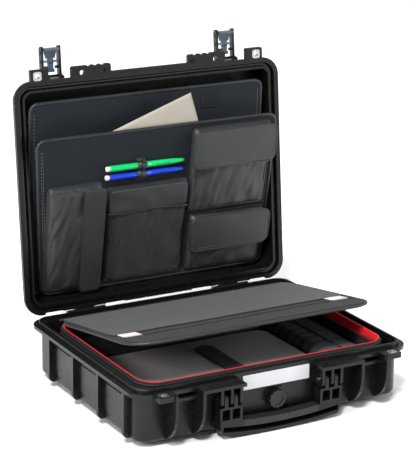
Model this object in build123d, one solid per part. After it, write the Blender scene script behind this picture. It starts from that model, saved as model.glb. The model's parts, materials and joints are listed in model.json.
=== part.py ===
from build123d import *
import math
import os

# Laptop hard case, standing open: a moulded base and lid on two pin hinges, two
# double-throw latches, a hanging handle, a pressure valve, a padded bag in the base
# and a folding organiser in the lid. Millimetres, +Z up, -Y is the handle side.
# The origin is the middle of the flat pad under the base.
# Lid pieces are drawn in the closed position and turned open about the hinge pins.

# ---- outline of the case ----
width = 474.0            # over the lips, along X
depth = 372.0            # over the lips, along Y
lip_corner = 30.0        # outside corner radius of the lips
wall = 3.5               # moulded wall
open_angle = 95.5        # how far the lid stands open

# ---- base ----
foot_height = 8.5        # underside of the floor above the ground
floor_thickness = 3.5
lip_bottom = 82.5        # underside of the base lip
lip_thickness = 5.5
ridge_height = 6.0       # sealing ridge above the lip
ridge_inset = 8.5        # lip edge to the ridge's outer face
ridge_width = 4.5
wall_inset = 11.0        # lip edge to the outer wall, left and right
front_wall_inset = 13.0  # lip edge to the outer wall, front and back
wall_corner = 22.0
floor_edge = 7.0         # rounding of the base's bottom edge

# ---- lid ----
lid_gap = 0.3            # between the closed lips
lid_lip = 5.7            # thickness of the lid lip
groove_start = 7.8       # lip edge to the gasket groove
groove_width = 6.8
groove_depth = 10.2
groove_cover = 3.0       # plastic behind the groove
inner_rim = 3.6          # inner rim beside the groove
inner_rim_drop = 8.5     # length of that rim below the groove's floor
lid_depth = 54.0         # lip face to the outside of the top
lid_wall_inset = 13.0
lid_straight = 29.5      # lip face to where the walls start to lean in
lid_lean = 15.0          # lean of the upper walls, degrees
lid_wall = 4.0
gasket_size = 4.0

# ---- hinge ----
hinge_y = 189.0
hinge_z = 87.5
hinge_middle = 132.5     # X of each hinge
hinge_length = 67.0
knuckle_radius = 4.6
hinge_pin_radius = 2.0
running_gap = 0.05       # radial clearance of every turning pin
knuckle_gap = 0.5        # between neighbouring knuckles

# ---- front furniture ----
fin_reach = 206.0        # how far forward the fins and guard plates reach
fin_thickness = 5.0
inner_fin = 136.0        # X of the fin beside the handle lug
outer_fin = 181.0        # X of the fin beside the padlock eye
fin_bottom = 10.0        # lower edge of the fins and ribs
fin_round = 45.0
guard_start = 66.0       # X where the guard plates begin
guard_hole_x = (78.0, 119.5)
guard_hole_y = 192.0
guard_hole_radius = 3.4
eye_x = 196.0            # padlock eyes
eye_y = 193.0
eye_hole_radius = 4.0
eye_tube_radius = 5.6
eye_flange = 14.0
eye_flange_thickness = 1.0
label_width = 114.0
label_height = 22.4
label_y = 178.0          # back of the label
label_thickness = 1.2
valve_z = 44.0
knob_radius = 14.5
knob_thickness = 8.0

# ---- handle ----
lug_ribs = (70.6, 86.4, 102.6)   # X of the three ribs of each handle lug
lug_rib_thickness = 4.4
lug_rib_bottom = 52.0
lug_front = 11.0                 # pin to the ribs' front edge
lug_clearance = 0.7              # lug to the swinging frame
handle_y = 188.0
handle_z = 64.5
handle_pin_radius = 2.5
handle_arm = (67.0, 105.0)       # X of each arm's two sides
handle_half = 8.5                # half thickness of the frame, along Y
handle_top = 13.5                # pin to the frame's upper edge
handle_reach = 56.0              # pin to the outer edge of the rail, at the arms
handle_bow = 7.8                 # how much further the rail reaches in the middle
rail_thickness = 5.4
grip_bottom = 13.5               # outer edge of the rail to the grip
grip_top = 23.5                  # and to the grip's upper side
finger_thickness = 6.0

# ---- side ribs ----
side_rib_y = (113.0, 28.0, -57.0, -140.0)
side_rib_width = 6.5
side_rib_proud = 9.0

# ---- latches ----
latch_x = 156.8
latch_width = 34.0
latch_stub = 0.8         # how far the pin ends stand out of the rails
latch_pivot_y = 184.0
latch_pivot_z = 114.0
latch_length = 50.0
latch_rail = 4.0
latch_rail_depth = 9.0
latch_offset = 6.0       # pivot to the near face of the rails
latch_pin_radius = 2.0
hook_pin = 26.0          # pivot to the hook's own pin, along the lever
hook_width = 24.0
hook_neck = 9.0
tail_flare = 1.2         # how far the tail stands out past the neck
neck_gap = 0.6           # tail to the lever's lugs
hook_thickness = 3.6
catch_height = 5.0
catch_underside = 71.0

# ---- bag ----
bag_half_width = 212.0
bag_front = -163.0
bag_back = 142.0
bag_corner = 34.0
bag_top = 95.0
bag_wall = 6.0
bag_floor = 4.0
lining_thickness = 1.4
lining_height = 16.0
flap_half_width = 210.0
flap_length = 268.0
flap_thickness = 4.0
flap_angle = 9.4         # how far the flap stands up
flap_corner = 42.0
mesh_thickness = 1.4
soft_gap = 0.3           # between soft pieces of different bodies

# ---- organiser ----
panel_thickness = 4.0
front_panel_closed = 127.0   # front face of the pocket panel with the lid shut
panel_corner = 15.0
panel_hem_radius = 2.55
front_hinge = (163.0, 129.0) # Y and Z of its lower edge with the lid shut
front_lean = 14.5            # how far it leans out of the open lid
back_panel_closed = 133.5
back_hinge = (159.0, 135.5)
back_lean = 8.0
back_hem_radius = 2.3
panel_left = -215.0
panel_left_low = -192.0      # the panel narrows towards its lower edge
panel_right = 214.0
panel_top = -105.0
panel_bottom = 163.0

lip_top = lip_bottom + lip_thickness
ridge_top = lip_top + ridge_height
lid_face = lip_top + lid_gap
lid_top = lid_face + lid_depth
groove_floor = lid_face + groove_depth
half_w = width / 2
half_d = depth / 2
base_wall_x = half_w - wall_inset
base_wall_y = half_d - front_wall_inset

PARTS = {}


def plate(half_x, half_y, radius, z0, z1, y_middle=0.0):
    """Upright rounded block, centred on X = 0."""
    outline = RectangleRounded(2 * half_x, 2 * half_y, radius)
    return Pos(0, y_middle, z0) * extrude(outline, z1 - z0)


def block(x0, x1, y0, y1, z0, z1):
    return Pos((x0 + x1) / 2, (y0 + y1) / 2, (z0 + z1) / 2) * Box(x1 - x0, y1 - y0, z1 - z0)


def slab(x0, x1, y0, y1, z0, z1, radius):
    """Flat board with rounded corners, seen along Z."""
    outline = RectangleRounded(x1 - x0, y1 - y0, radius)
    return Pos((x0 + x1) / 2, (y0 + y1) / 2, z0) * extrude(outline, z1 - z0)


def ring(inset, band, radius, z0, z1):
    """Band that follows the lip, from one inset to the next."""
    outer = plate(half_w - inset, half_d - inset, radius, z0, z1)
    inner = plate(half_w - inset - band, half_d - inset - band, max(radius - band, 1.0),
                  z0 - 1, z1 + 1)
    return outer - inner


def rod_x(x0, x1, y, z, radius):
    """Round bar along X."""
    return Pos((x0 + x1) / 2, y, z) * Rot(0, 90, 0) * Cylinder(radius, abs(x1 - x0))


def rod_y(x, y0, y1, z, radius):
    return Pos(x, (y0 + y1) / 2, z) * Rot(90, 0, 0) * Cylinder(radius, abs(y1 - y0))


def rod_z(x, y, z0, z1, radius):
    return Pos(x, y, (z0 + z1) / 2) * Cylinder(radius, abs(z1 - z0))


def prism_x(points, x0, x1):
    """Outline in the YZ plane, extruded along X."""
    face = make_face(Polyline(*[(0, y, z) for y, z in points], close=True).edges())
    return Pos(x0, 0, 0) * extrude(face, x1 - x0, dir=(1, 0, 0))


def both_sides(shape):
    return shape + mirror(shape, Plane.YZ)


def joined(pieces):
    total = pieces[0]
    for piece in pieces[1:]:
        total = total + piece
    return total


def opened(shape):
    """Turn a lid piece from the closed position to the open one."""
    there = Pos(0, hinge_y, hinge_z) * Rot(-open_angle, 0, 0) * Pos(0, -hinge_y, -hinge_z)
    return there * shape


# ---------------------------------------------------------------- base shell

def base_tub():
    outside = plate(base_wall_x, base_wall_y, wall_corner, foot_height, lip_bottom + 1)
    outside = fillet(outside.faces().sort_by(Axis.Z)[0].edges(), floor_edge)
    rim_half_x = half_w - ridge_inset
    rim_half_y = half_d - ridge_inset
    lip = plate(half_w, half_d, lip_corner, lip_bottom, lip_top)
    ridge = plate(rim_half_x, rim_half_y, lip_corner - ridge_inset, lip_top, ridge_top)
    ridge = fillet(ridge.faces().sort_by(Axis.Z)[-1].edges(), 1.5)
    body = outside + lip + ridge
    # the lip is cut back behind the label and beside the hinges
    body -= block(-guard_start, guard_start, -half_d - 1, -label_y, lip_bottom - 1, lip_top + 0.5)
    body -= block(-203, 203, half_d - 6, half_d + 1, lip_bottom - 1, lip_top + 1)
    cavity = plate(base_wall_x - wall, base_wall_y - wall, wall_corner - wall,
                   foot_height + floor_thickness, lip_top)
    cavity = fillet(cavity.faces().sort_by(Axis.Z)[0].edges(), floor_edge - 2)
    throat = plate(rim_half_x - ridge_width, rim_half_y - ridge_width,
                   lip_corner - ridge_inset - ridge_width, lip_top - 0.5, ridge_top + 1)
    return body - cavity - throat


def fin_outline(reach, top):
    """Side view of a front fin, with its long rounded lower corner."""
    back = -base_wall_y + 1
    middle_y = -reach + fin_round
    middle_z = fin_bottom + fin_round + 4
    arc = [(middle_y - fin_round * math.sin(math.radians(a)),
            middle_z - (fin_round + 4) * math.cos(math.radians(a))) for a in range(15, 91, 15)]
    return [(back, middle_z - (fin_round + 4) * 0.985)] + arc + [(-reach, top), (back, top)]


def front_fins():
    pieces = []
    for x in (inner_fin, outer_fin):
        pieces.append(prism_x(fin_outline(fin_reach, lip_top - 1),
                              x - fin_thickness / 2, x + fin_thickness / 2))
    return joined(pieces)


def guard_plate():
    """Plate over the handle lug, with its two holes."""
    piece = block(guard_start, inner_fin + fin_thickness / 2, -fin_reach, -base_wall_y + 1,
                  lip_top - 5, lip_top)
    for x in guard_hole_x:
        piece -= rod_z(x, -guard_hole_y, lip_top - 6, lip_top + 1, guard_hole_radius)
    return piece


def handle_lug():
    pieces = []
    back = -base_wall_y + 1
    front = -handle_y - lug_front
    side = [(back, lug_rib_bottom + 6), (-handle_y + 5, lug_rib_bottom), (front, lug_rib_bottom),
            (front, lip_top - 4), (back, lip_top - 4)]
    for x in lug_ribs:
        pieces.append(prism_x(side, x - lug_rib_thickness / 2, x + lug_rib_thickness / 2))
    x0, x1 = lug_ribs[0] - 5, lug_ribs[-1] + 5
    # lower front corner rounded about the pin, so the frame swings past it
    corner = block(x0, x1, front - 1, -handle_y, lug_rib_bottom - 1, handle_z)
    corner -= rod_x(x0 - 1, x1 + 1, -handle_y, handle_z, handle_top - lug_clearance)
    return joined(pieces) - corner - rod_x(x0, x1, -handle_y, handle_z, handle_pin_radius)


def padlock_lug(z0, z1, root):
    """Lug for the padlock eye; root is how far it runs in past the lip's edge."""
    x0 = outer_fin + fin_thickness / 2 - 0.5
    x1 = eye_x + 11.5
    lug = slab(x0 - 6, x1, -eye_y - 10.5, -half_d + root, z0, z1, 3)
    return lug - rod_z(eye_x, -eye_y, z0 - 1, z1 + 1, eye_tube_radius)


def padlock_recess(z0, z1):
    half = eye_flange / 2
    return slab(eye_x - half, eye_x + half, -eye_y - half, -eye_y + half, z0, z1, 3.5)


def latch_catch():
    """Bar between the fins that the latch hook pulls on."""
    return block(inner_fin, outer_fin, -half_d - 2, -base_wall_y + 1,
                 catch_underside, catch_underside + catch_height)


def side_ribs():
    """Upright ribs on the right wall, each with a bracket that flares up to the lip."""
    pieces = []
    reach = base_wall_x + side_rib_proud
    flare = 18.0
    flare_height = 30.0
    for y in side_rib_y:
        face = y + side_rib_width / 2
        rib = block(base_wall_x - 2, reach, y - side_rib_width / 2, face, fin_bottom, lip_bottom + 1)
        toe = rib.edges().filter_by(Axis.Y).group_by(Axis.Z)[0].sort_by(Axis.X)[-1]
        pieces.append(fillet(toe, 8.0))
        web = [(face - 0.5, lip_bottom + 0.5), (face - 0.5, lip_bottom - flare_height)]
        for turn in range(15, 91, 15):
            a = math.radians(turn)
            web.append((face + flare * (1 - math.cos(a)), lip_bottom - flare_height * (1 - math.sin(a))))
        pieces.append(prism_x(web, base_wall_x - 2, reach - 3.5))
    for y in side_rib_y[1:]:
        y0 = y + side_rib_width / 2 + 6
        pieces.append(wall_panel(y0, y0 + 62, 26, lip_bottom - 12, 1.4, 8))
    return joined(pieces)


def wall_panel(y0, y1, z0, z1, proud, radius):
    """Shallow raised panel on the right wall."""
    place = Plane(origin=(base_wall_x - 1, (y0 + y1) / 2, (z0 + z1) / 2), x_dir=(0, 1, 0), z_dir=(1, 0, 0))
    return extrude(place * RectangleRounded(y1 - y0, z1 - z0, radius), 1 + proud)


def hinge_knuckles(base_side):
    """Base: the two outer knuckles of the right hinge. Lid: the long middle one."""
    start = hinge_middle - hinge_length / 2
    end = hinge_middle + hinge_length / 2
    share = hinge_length / 4
    bore = hinge_pin_radius + (0.0 if base_side else running_gap)
    if base_side:
        spans = [(start, start + share - knuckle_gap / 2), (end - share + knuckle_gap / 2, end)]
        arm = [(half_d - 8, lip_bottom - 2), (half_d - 8, hinge_z - 3),
               (hinge_y, hinge_z - knuckle_radius + 0.4),
               (hinge_y - 1, hinge_z - knuckle_radius - 4), (base_wall_y - 1, lip_bottom - 16),
               (base_wall_y - 1, lip_bottom)]
    else:
        spans = [(start + share + knuckle_gap / 2, end - share - knuckle_gap / 2)]
        arm = [(half_d - 7, lid_face + 3), (hinge_y - 1, hinge_z + knuckle_radius - 0.6),
               (hinge_y + 1, hinge_z + knuckle_radius + 5), (half_d - lid_wall_inset + 1, groove_floor + 16),
               (half_d - lid_wall_inset - 1, groove_floor + 2), (half_d - 7, groove_floor + 1)]
    pieces = []
    for x0, x1 in spans:
        knuckle = rod_x(x0, x1, hinge_y, hinge_z, knuckle_radius) + prism_x(arm, x0, x1)
        pieces.append(knuckle - rod_x(x0 - 1, x1 + 1, hinge_y, hinge_z, bore))
    return joined(pieces)


def hinge_clearance(spans, margin=0.7):
    """Round space for the knuckles of the other half."""
    pieces = []
    for x0, x1 in spans:
        pieces.append(rod_x(x0, x1, hinge_y, hinge_z, knuckle_radius + margin))
    return joined(pieces)


def base_bottom_pads():
    """Runners and the middle pad that the case stands on."""
    under = foot_height + 0.5
    pads = slab(-60, 60, -30, 30, 0, under, 8)
    pads += slab(-190, 190, -128, -116, 0, under, 5)
    pads += slab(-190, 190, 116, 128, 0, under, 5)
    pads += block(-6, 6, -120, 120, 4, under)
    return pads


def base_shell():
    body = base_tub()
    side = joined([front_fins(), guard_plate(), handle_lug(), latch_catch(), side_ribs(),
                   padlock_lug(lip_top - 8, lip_top, 14)])
    # back wall: two upright ribs behind each hinge
    for x in (hinge_middle - 34, hinge_middle + 34):
        side += block(x - 3, x + 3, base_wall_y - 1, base_wall_y + 8, fin_bottom, lip_bottom + 1)
    side -= padlock_recess(lip_top - eye_flange_thickness, lip_top + 1)
    side += hinge_knuckles(True)
    body = body + both_sides(side)
    body += base_bottom_pads()
    label_pad = block(-label_width / 2 - 2, label_width / 2 + 2, -label_y, -base_wall_y + 1,
                      lip_top - label_height - 2.0, lip_top - 0.1)
    valve_pad = block(-13, 13, -base_wall_y - 2.5, -base_wall_y + 1, valve_z - 14, valve_z + 15)
    body += label_pad + valve_pad
    body -= rod_y(0, -base_wall_y - 4, -base_wall_y + 5, valve_z, 7.0)
    quarter = hinge_length / 4
    start = hinge_middle - hinge_length / 2 + quarter
    spans = [(start - 0.0, start + 2 * quarter), (-start - 2 * quarter, -start)]
    body -= hinge_clearance(spans)
    return body


# ---------------------------------------------------------------- lid shell

def lid_shell():
    lip = plate(half_w, half_d, lip_corner, lid_face, lid_face + lid_lip)
    casing_top = groove_floor + groove_cover
    casing = plate(half_w - 6.5, half_d - 6.5, lip_corner - 6.5, lid_face + lid_lip - 1, casing_top)
    casing = fillet(casing.faces().sort_by(Axis.Z)[-1].edges(), 2.0)
    wall_z = lid_face + lid_straight
    half_x = half_w - lid_wall_inset
    half_y = half_d - lid_wall_inset
    walls = plate(half_x, half_y, 22, groove_floor, wall_z)
    outline = RectangleRounded(2 * half_x, 2 * half_y, 22)
    crown = Pos(0, 0, wall_z) * extrude(outline, lid_top - wall_z, taper=lid_lean)
    crown = fillet(crown.faces().sort_by(Axis.Z)[-1].edges(), 7.0)
    body = lip + casing + walls + crown
    # inside
    in_x = half_x - lid_wall
    in_y = half_y - lid_wall
    body -= plate(in_x, in_y, 18, lid_face - 1, wall_z)
    roof = lid_top - lid_wall
    inside = RectangleRounded(2 * in_x, 2 * in_y, 18)
    hollow = Pos(0, 0, wall_z) * extrude(inside, roof - wall_z, taper=lid_lean)
    body -= hollow
    # gasket groove and the rim inside it
    body -= ring(groove_start, groove_width, lip_corner - groove_start, lid_face - 1, groove_floor)
    rim_inset = groove_start + groove_width
    body -= ring(rim_inset, 12, lip_corner - rim_inset, lid_face - 1, groove_floor - inner_rim_drop)
    body += ring(rim_inset, inner_rim, lip_corner - rim_inset, groove_floor - inner_rim_drop, casing_top)
    # lip cut back beside the hinges
    for side in (-1, 1):
        for x in (187.0, 79.5):
            half = 15.5 if x > 100 else 17.5
            body -= block(side * x - half, side * x + half, half_d - 6, half_d + 1,
                          lid_face - 1, lid_face + lid_lip - 1)
    body -= block(-203, 203, half_d - 2, half_d + 1, lid_face - 1, lid_face + lid_lip + 1)
    furniture = [lid_guard(), lid_padlock(), latch_cheeks(), lid_ribs(), hinge_knuckles(False)]
    body += both_sides(joined(furniture))
    # gasket groove kept open under the furniture
    body -= ring(groove_start, groove_width, lip_corner - groove_start, lid_face - 1, groove_floor)
    body += slab(-70, 70, -half_d - 4, -half_d + 5, lid_face, lid_face + lid_lip, 2)
    # long shallow panels on the outside of the top
    for x in (-150.0, -50.0, 50.0, 150.0):
        body += slab(x - 38, x + 38, -125, 125, lid_top - 1, lid_top + 2.0, 12)
    spans = []
    start = hinge_middle - hinge_length / 2
    quarter = hinge_length / 4
    for x in (start, start + 3 * quarter):
        spans += [(x - 0.5, x + quarter + 0.5), (-x - quarter - 0.5, -x + 0.5)]
    body -= hinge_clearance(spans)
    return body


def lid_guard():
    """Guard plate of the lid: wavy front edge, a hole and a locating peg."""
    x0, x1 = 69.0, 138.0
    outline = slab(x0, x1, -fin_reach + 3, -half_d + 6, lid_face, lid_face + lid_lip, 4)
    for k in range(3):
        outline -= rod_z(x0 + 14 + 12 * k, -fin_reach - 0.5, lid_face - 1, lid_face + lid_lip + 1, 5.5)
    outline -= rod_z(guard_hole_x[1], -guard_hole_y, lid_face - 1, lid_face + lid_lip + 1, 4.0)
    peg = rod_z(guard_hole_x[0], -guard_hole_y, lid_face - 3.5, lid_face + 1, guard_hole_radius - 0.8)
    recess = slab(x0 + 7, x1 - 33, -fin_reach + 7, -half_d - 1.5, lid_face + 3.2, lid_face + lid_lip + 1, 2)
    return outline - recess + peg


def lid_padlock():
    lug = padlock_lug(lid_face, lid_face + lid_lip + 1.5, 7)
    return lug - padlock_recess(lid_face - 1, lid_face + eye_flange_thickness)


def latch_cheeks():
    """Two lugs on the lid wall that hold the latch pin."""
    pieces = []
    for offset in (-10.5, 10.5):
        x = latch_x + offset
        side = [(-half_d + lid_wall_inset + 2, latch_pivot_z - 12), (-latch_pivot_y - 1, latch_pivot_z - 4.5),
                (-latch_pivot_y - 3.6, latch_pivot_z - 2.5), (-latch_pivot_y - 3.6, latch_pivot_z + 2.5),
                (-latch_pivot_y - 1, latch_pivot_z + 4), (-half_d + lid_wall_inset + 2, latch_pivot_z + 7)]
        pieces.append(prism_x(side, x - 2, x + 2))
    cheeks = joined(pieces)
    return cheeks - rod_x(latch_x - 20, latch_x + 20, -latch_pivot_y, latch_pivot_z, latch_pin_radius)


def lid_ribs():
    pieces = []
    half_x = half_w - lid_wall_inset
    z0 = lid_face + lid_lip
    for y in side_rib_y:
        pieces.append(block(half_x - 2, half_x + 4.5, y - side_rib_width / 2, y + side_rib_width / 2,
                            z0, lid_face + 24))
    for x in (99.0, 166.0):
        back = half_d - lid_wall_inset
        pieces.append(block(x - 3, x + 3, back - 2, back + 5, z0, lid_face + 30))
    return joined(pieces)


def lid_gasket():
    centre = groove_start + groove_width / 2
    half = gasket_size / 2
    radius = lip_corner - centre + half
    body = ring(centre - half, gasket_size, radius, groove_floor - gasket_size, groove_floor)
    return fillet(body.faces().sort_by(Axis.Z)[0].edges(), 1.2)


def padlock_eye(face_z, direction):
    """Nickel eyelet: a square flange and a tube through the lug."""
    half = eye_flange / 2
    z1 = face_z - direction * eye_flange_thickness
    flange = slab(eye_x - half, eye_x + half, -eye_y - half, -eye_y + half,
                  min(face_z, z1), max(face_z, z1), 3.5)
    tube = rod_z(eye_x, -eye_y, face_z, face_z - direction * 7.5, eye_tube_radius)
    eye = flange + tube - rod_z(eye_x, -eye_y, face_z - 12, face_z + 12, eye_hole_radius)
    return eye + mirror(eye, Plane.YZ)


# ---------------------------------------------------------------- latches

def latch_lever(x):
    """Black lever, drawn hanging in the closed position."""
    top = latch_pivot_z + 5
    bottom = latch_pivot_z - latch_length
    near = -latch_pivot_y - latch_offset
    far = near - latch_rail_depth
    half = latch_width / 2
    pieces = []
    for s in (-1, 1):
        x0, x1 = sorted((x + s * half, x + s * (half - latch_rail)))
        side = [(-latch_pivot_y + 3.5, latch_pivot_z - 3), (-latch_pivot_y + 3.5, latch_pivot_z + 3),
                (-latch_pivot_y, top), (far + 2, top), (far, top - 3), (far, bottom + 4), (far + 3, bottom),
                (near, bottom), (near, latch_pivot_z - 6)]
        pieces.append(prism_x(side, x0, x1))
    # cross bars: one at the free end, one over the pivot
    pieces.append(block(x - half, x + half, far, far + 3.5, top - 9, top))
    hook_z = latch_pivot_z - hook_pin
    # two lugs behind the hook, with room for its neck and tail between them
    for s in (-1, 1):
        x0, x1 = sorted((x + s * half, x + s * (hook_neck / 2 + tail_flare + neck_gap)))
        pieces.append(block(x0, x1, near - 2.4, near, hook_z + 7, hook_z + 11))
    for z in (latch_pivot_z - 40, hook_z):
        for s in (-1, 1):
            x0, x1 = sorted((x + s * half, x + s * (half + latch_stub)))
            pieces.append(rod_x(x0, x1, (near + far) / 2, z, 2.6))
    lever = joined(pieces)
    lever -= rod_x(x - half - 2, x + half + 2, -latch_pivot_y, latch_pivot_z, latch_pin_radius + running_gap)
    return lever - rod_x(x - half + 1, x + half - 1, (near + far) / 2, hook_z, latch_pin_radius)


def latch_hook(x):
    """Grey hook between the rails: plate, neck, tail and the claw at its end."""
    middle = -latch_pivot_y - latch_offset - latch_rail_depth / 2
    pin_z = latch_pivot_z - hook_pin
    y0, y1 = middle - hook_thickness / 2, middle + hook_thickness / 2
    end = catch_underside - 4.2
    top = pin_z - 4.5
    low_half, high_half = hook_width / 2, hook_width / 2 - 4.5
    outline = Polyline((x - low_half, 0, end), (x + low_half, 0, end), (x + high_half, 0, top),
                       (x - high_half, 0, top), close=True)
    flat = Pos(0, y0, 0) * extrude(make_face(outline.edges()), hook_thickness, dir=(0, 1, 0))
    neck = block(x - hook_neck / 2, x + hook_neck / 2, y0, y1, top - 1, pin_z + 16)
    barrel = rod_x(x - hook_neck / 2, x + hook_neck / 2, middle, pin_z, 4.0)
    wide = hook_neck / 2 + tail_flare
    tail = block(x - wide, x + wide, y0 - tail_flare, y1 + tail_flare, pin_z + 12, pin_z + 17)
    claw = block(x - low_half, x + low_half, y0, -half_d + 3, end, catch_underside - 0.6)
    body = joined([flat, neck, barrel, tail, claw])
    return body - rod_x(x - hook_width, x + hook_width, middle, pin_z, latch_pin_radius + running_gap)


def latch_open(shape):
    """Swing a closed latch out, square to the lid's front wall."""
    there = Pos(0, -latch_pivot_y, latch_pivot_z) * Rot(-90, 0, 0) * Pos(0, latch_pivot_y, -latch_pivot_z)
    return there * shape


def add_latch(name, x):
    middle = -latch_pivot_y - latch_offset - latch_rail_depth / 2
    half = latch_width / 2
    PARTS[f"{name}_lever"] = opened(latch_open(latch_lever(x)))
    PARTS[f"{name}_hook"] = opened(latch_open(latch_hook(x)))
    hook_bar = rod_x(x - half + 1, x + half - 1, middle, latch_pivot_z - hook_pin, latch_pin_radius)
    PARTS[f"{name}_hook_pin"] = opened(latch_open(hook_bar))
    pivot_bar = rod_x(x - half, x + half, -latch_pivot_y, latch_pivot_z, latch_pin_radius)
    PARTS[f"{name}_pivot_pin"] = opened(pivot_bar)


# ---------------------------------------------------------------- handle

def bowed(x):
    """How far the rail's bow reaches past its corners at this X; every bowed line has this radius."""
    radius = (handle_arm[1] ** 2 + handle_bow ** 2) / (2 * handle_bow)
    return handle_bow - radius + math.sqrt(radius ** 2 - x ** 2)


def handle_band(end, low, high, depth):
    """Bar between two bowed lines; the heights are counted from the rail's outer edge."""
    z_low = -handle_reach + low
    z_high = -handle_reach + high
    dip = bowed(end)
    edges = [
        ThreePointArc((-end, z_high - dip), (0, z_high - handle_bow), (end, z_high - dip)),
        Line((end, z_high - dip), (end, z_low - dip)),
        ThreePointArc((end, z_low - dip), (0, z_low - handle_bow), (-end, z_low - dip)),
        Line((-end, z_low - dip), (-end, z_high - dip)),
    ]
    return extrude(make_face(edges), depth)


def rail_outline():
    """Outline of the handle in its own plane, hanging; heights are measured from the pin."""
    outer = handle_arm[1]
    inner = handle_arm[0]
    low = -handle_reach
    turn = outer - 14
    top = -handle_top
    seat = low + grip_top - bowed(inner)
    edges = [
        *Polyline((-outer, top), (-outer + 1.5, low + 9)).edges(),
        ThreePointArc((-outer + 1.5, low + 9), (-outer + 5, low + 1.4), (-turn, low - bowed(turn))),
        ThreePointArc((-turn, low - bowed(turn)), (0, low - handle_bow), (turn, low - bowed(turn))),
        ThreePointArc((turn, low - bowed(turn)), (outer - 5, low + 1.4), (outer - 1.5, low + 9)),
        *Polyline((outer - 1.5, low + 9), (outer, top), (inner, top), (inner, seat)).edges(),
        ThreePointArc((inner, seat), (0, low + grip_top - handle_bow), (-inner, seat)),
        *Polyline((-inner, seat), (-inner, top), (-outer, top)).edges(),
    ]
    return make_face(edges)


def handle_plane(shape, back_gap=0.0):
    """Stand a piece drawn in the handle's plane up at the pin; its front is the back plus its depth."""
    return Pos(0, -handle_y + handle_half - back_gap, handle_z) * Rot(90, 0, 0) * shape


def handle_frame():
    body = extrude(rail_outline(), 2 * handle_half)
    body -= handle_band(handle_arm[1] - 6, rail_thickness, grip_bottom, 2 * handle_half)
    body = handle_plane(body)
    windows = []
    for x0, x1 in ((handle_arm[0] + 4, 84.0), (88.0, handle_arm[1] - 4)):
        windows.append(block(x0, x1, -handle_y - handle_half - 1, -handle_y + handle_half - 3,
                             handle_z - 33, handle_z - handle_top - 3.5))
    body -= both_sides(joined(windows))
    fingers = []
    for x in ((lug_ribs[0] + lug_ribs[1]) / 2, (lug_ribs[1] + lug_ribs[2]) / 2):
        half = finger_thickness / 2
        shaft = block(x - half, x + half, -handle_y - handle_half, -handle_y + handle_half,
                      handle_z - handle_top - 1, handle_z)
        fingers.append(shaft + rod_x(x - half, x + half, -handle_y, handle_z, handle_half))
    frame = body + both_sides(joined(fingers))
    bore = handle_pin_radius + running_gap
    frame -= rod_x(-handle_arm[1] - 5, handle_arm[1] + 5, -handle_y, handle_z, bore)
    # waist that the soft grip is moulded on
    return frame - handle_grip()


def handle_grip():
    """Sleeve of soft rubber around the grip bar, bowed like the bar."""
    end = handle_arm[0] - 3
    skin = 2.0
    sleeve = handle_plane(handle_band(end, grip_bottom, grip_top, 2 * handle_half))
    core = handle_plane(handle_band(end, grip_bottom + skin, grip_top - skin, 2 * (handle_half - skin)), skin)
    return sleeve - core


# ---------------------------------------------------------------- valve and label

def valve_housing():
    flange = rod_y(0, -base_wall_y - 2.5, -base_wall_y - 4.0, valve_z, 10.0)
    barrel = rod_y(0, -base_wall_y - 2.5, -base_wall_y + wall, valve_z, 7.0)
    spindle = rod_y(0, -base_wall_y - 4.0, -base_wall_y - 10.0, valve_z, 4.0)
    return flange + barrel + spindle


def valve_knob():
    y0 = -base_wall_y - 4.3
    body = rod_y(0, y0, y0 - knob_thickness, valve_z, knob_radius)
    for k in range(12):
        a = math.radians(30 * k + 15)
        body -= rod_y((knob_radius + 1.6) * math.cos(a), y0 + 1, y0 - knob_thickness - 1,
                      valve_z + (knob_radius + 1.6) * math.sin(a), 3.2)
    body -= rod_y(0, y0 - knob_thickness - 1, y0 - knob_thickness + 1.2, valve_z, 9.0)
    return body - rod_y(0, y0 + 1, -base_wall_y - 10.5, valve_z, 4.0 + running_gap)


def label_plate():
    z1 = lip_top - 0.2
    flat = RectangleRounded(label_width, label_height, 1.5)
    return Pos(0, -label_y, z1 - label_height / 2) * Rot(90, 0, 0) * extrude(flat, label_thickness)


# ---------------------------------------------------------------- bag in the base

def bag_plate(shrink, z0, z1):
    half_y = (bag_back - bag_front) / 2 - shrink
    return plate(bag_half_width - shrink, half_y, bag_corner - shrink, z0, z1, (bag_back + bag_front) / 2)


def bag_body():
    floor_z = foot_height + floor_thickness
    outside = bag_plate(0, floor_z, bag_top)
    outside = fillet(outside.faces().sort_by(Axis.Z)[0].edges(), 6)
    body = outside - bag_plate(bag_wall, floor_z + bag_floor, bag_top + 1)
    return body - bag_plate(bag_wall - lining_thickness, bag_top - lining_height, bag_top + 1)


def bag_lining():
    return (bag_plate(bag_wall - lining_thickness, bag_top - lining_height, bag_top)
            - bag_plate(bag_wall, bag_top - lining_height - 1, bag_top + 1))


def bag_zip_tape():
    return bag_plate(-1.5, bag_top - 14, bag_top - 5) - bag_plate(0, bag_top - 15, bag_top - 4)


def sleeve_height():
    return foot_height + floor_thickness + bag_floor


pad_height = 45.0
pad_right = 122.0
shelf_height = 53.0
pouch_height = 55.0


def inside_bag(shape):
    """Trim a piece to the bag's rounded inside."""
    return shape & bag_plate(bag_wall + 2, 0, bag_top + 20)


def laptop_pad():
    z0 = sleeve_height()
    left = -bag_half_width + bag_wall + 2
    return inside_bag(slab(left, pad_right, bag_front + bag_wall + 2, 60, z0, z0 + pad_height, 12))


def pad_strap():
    z0 = sleeve_height() + pad_height
    return slab(-32, 0, bag_front + bag_wall + 3, 20, z0, z0 + 3, 14)


def back_compartment():
    z0 = sleeve_height()
    left = -bag_half_width + bag_wall + 2
    return inside_bag(slab(left, pad_right, 64, bag_back - bag_wall - 2, z0, z0 + shelf_height, 8))


def cable_pouch():
    z0 = sleeve_height()
    right = bag_half_width - bag_wall - 3
    return inside_bag(slab(pad_right + 4, right, bag_front + bag_wall + 4, 110, z0, z0 + pouch_height, 14))


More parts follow.
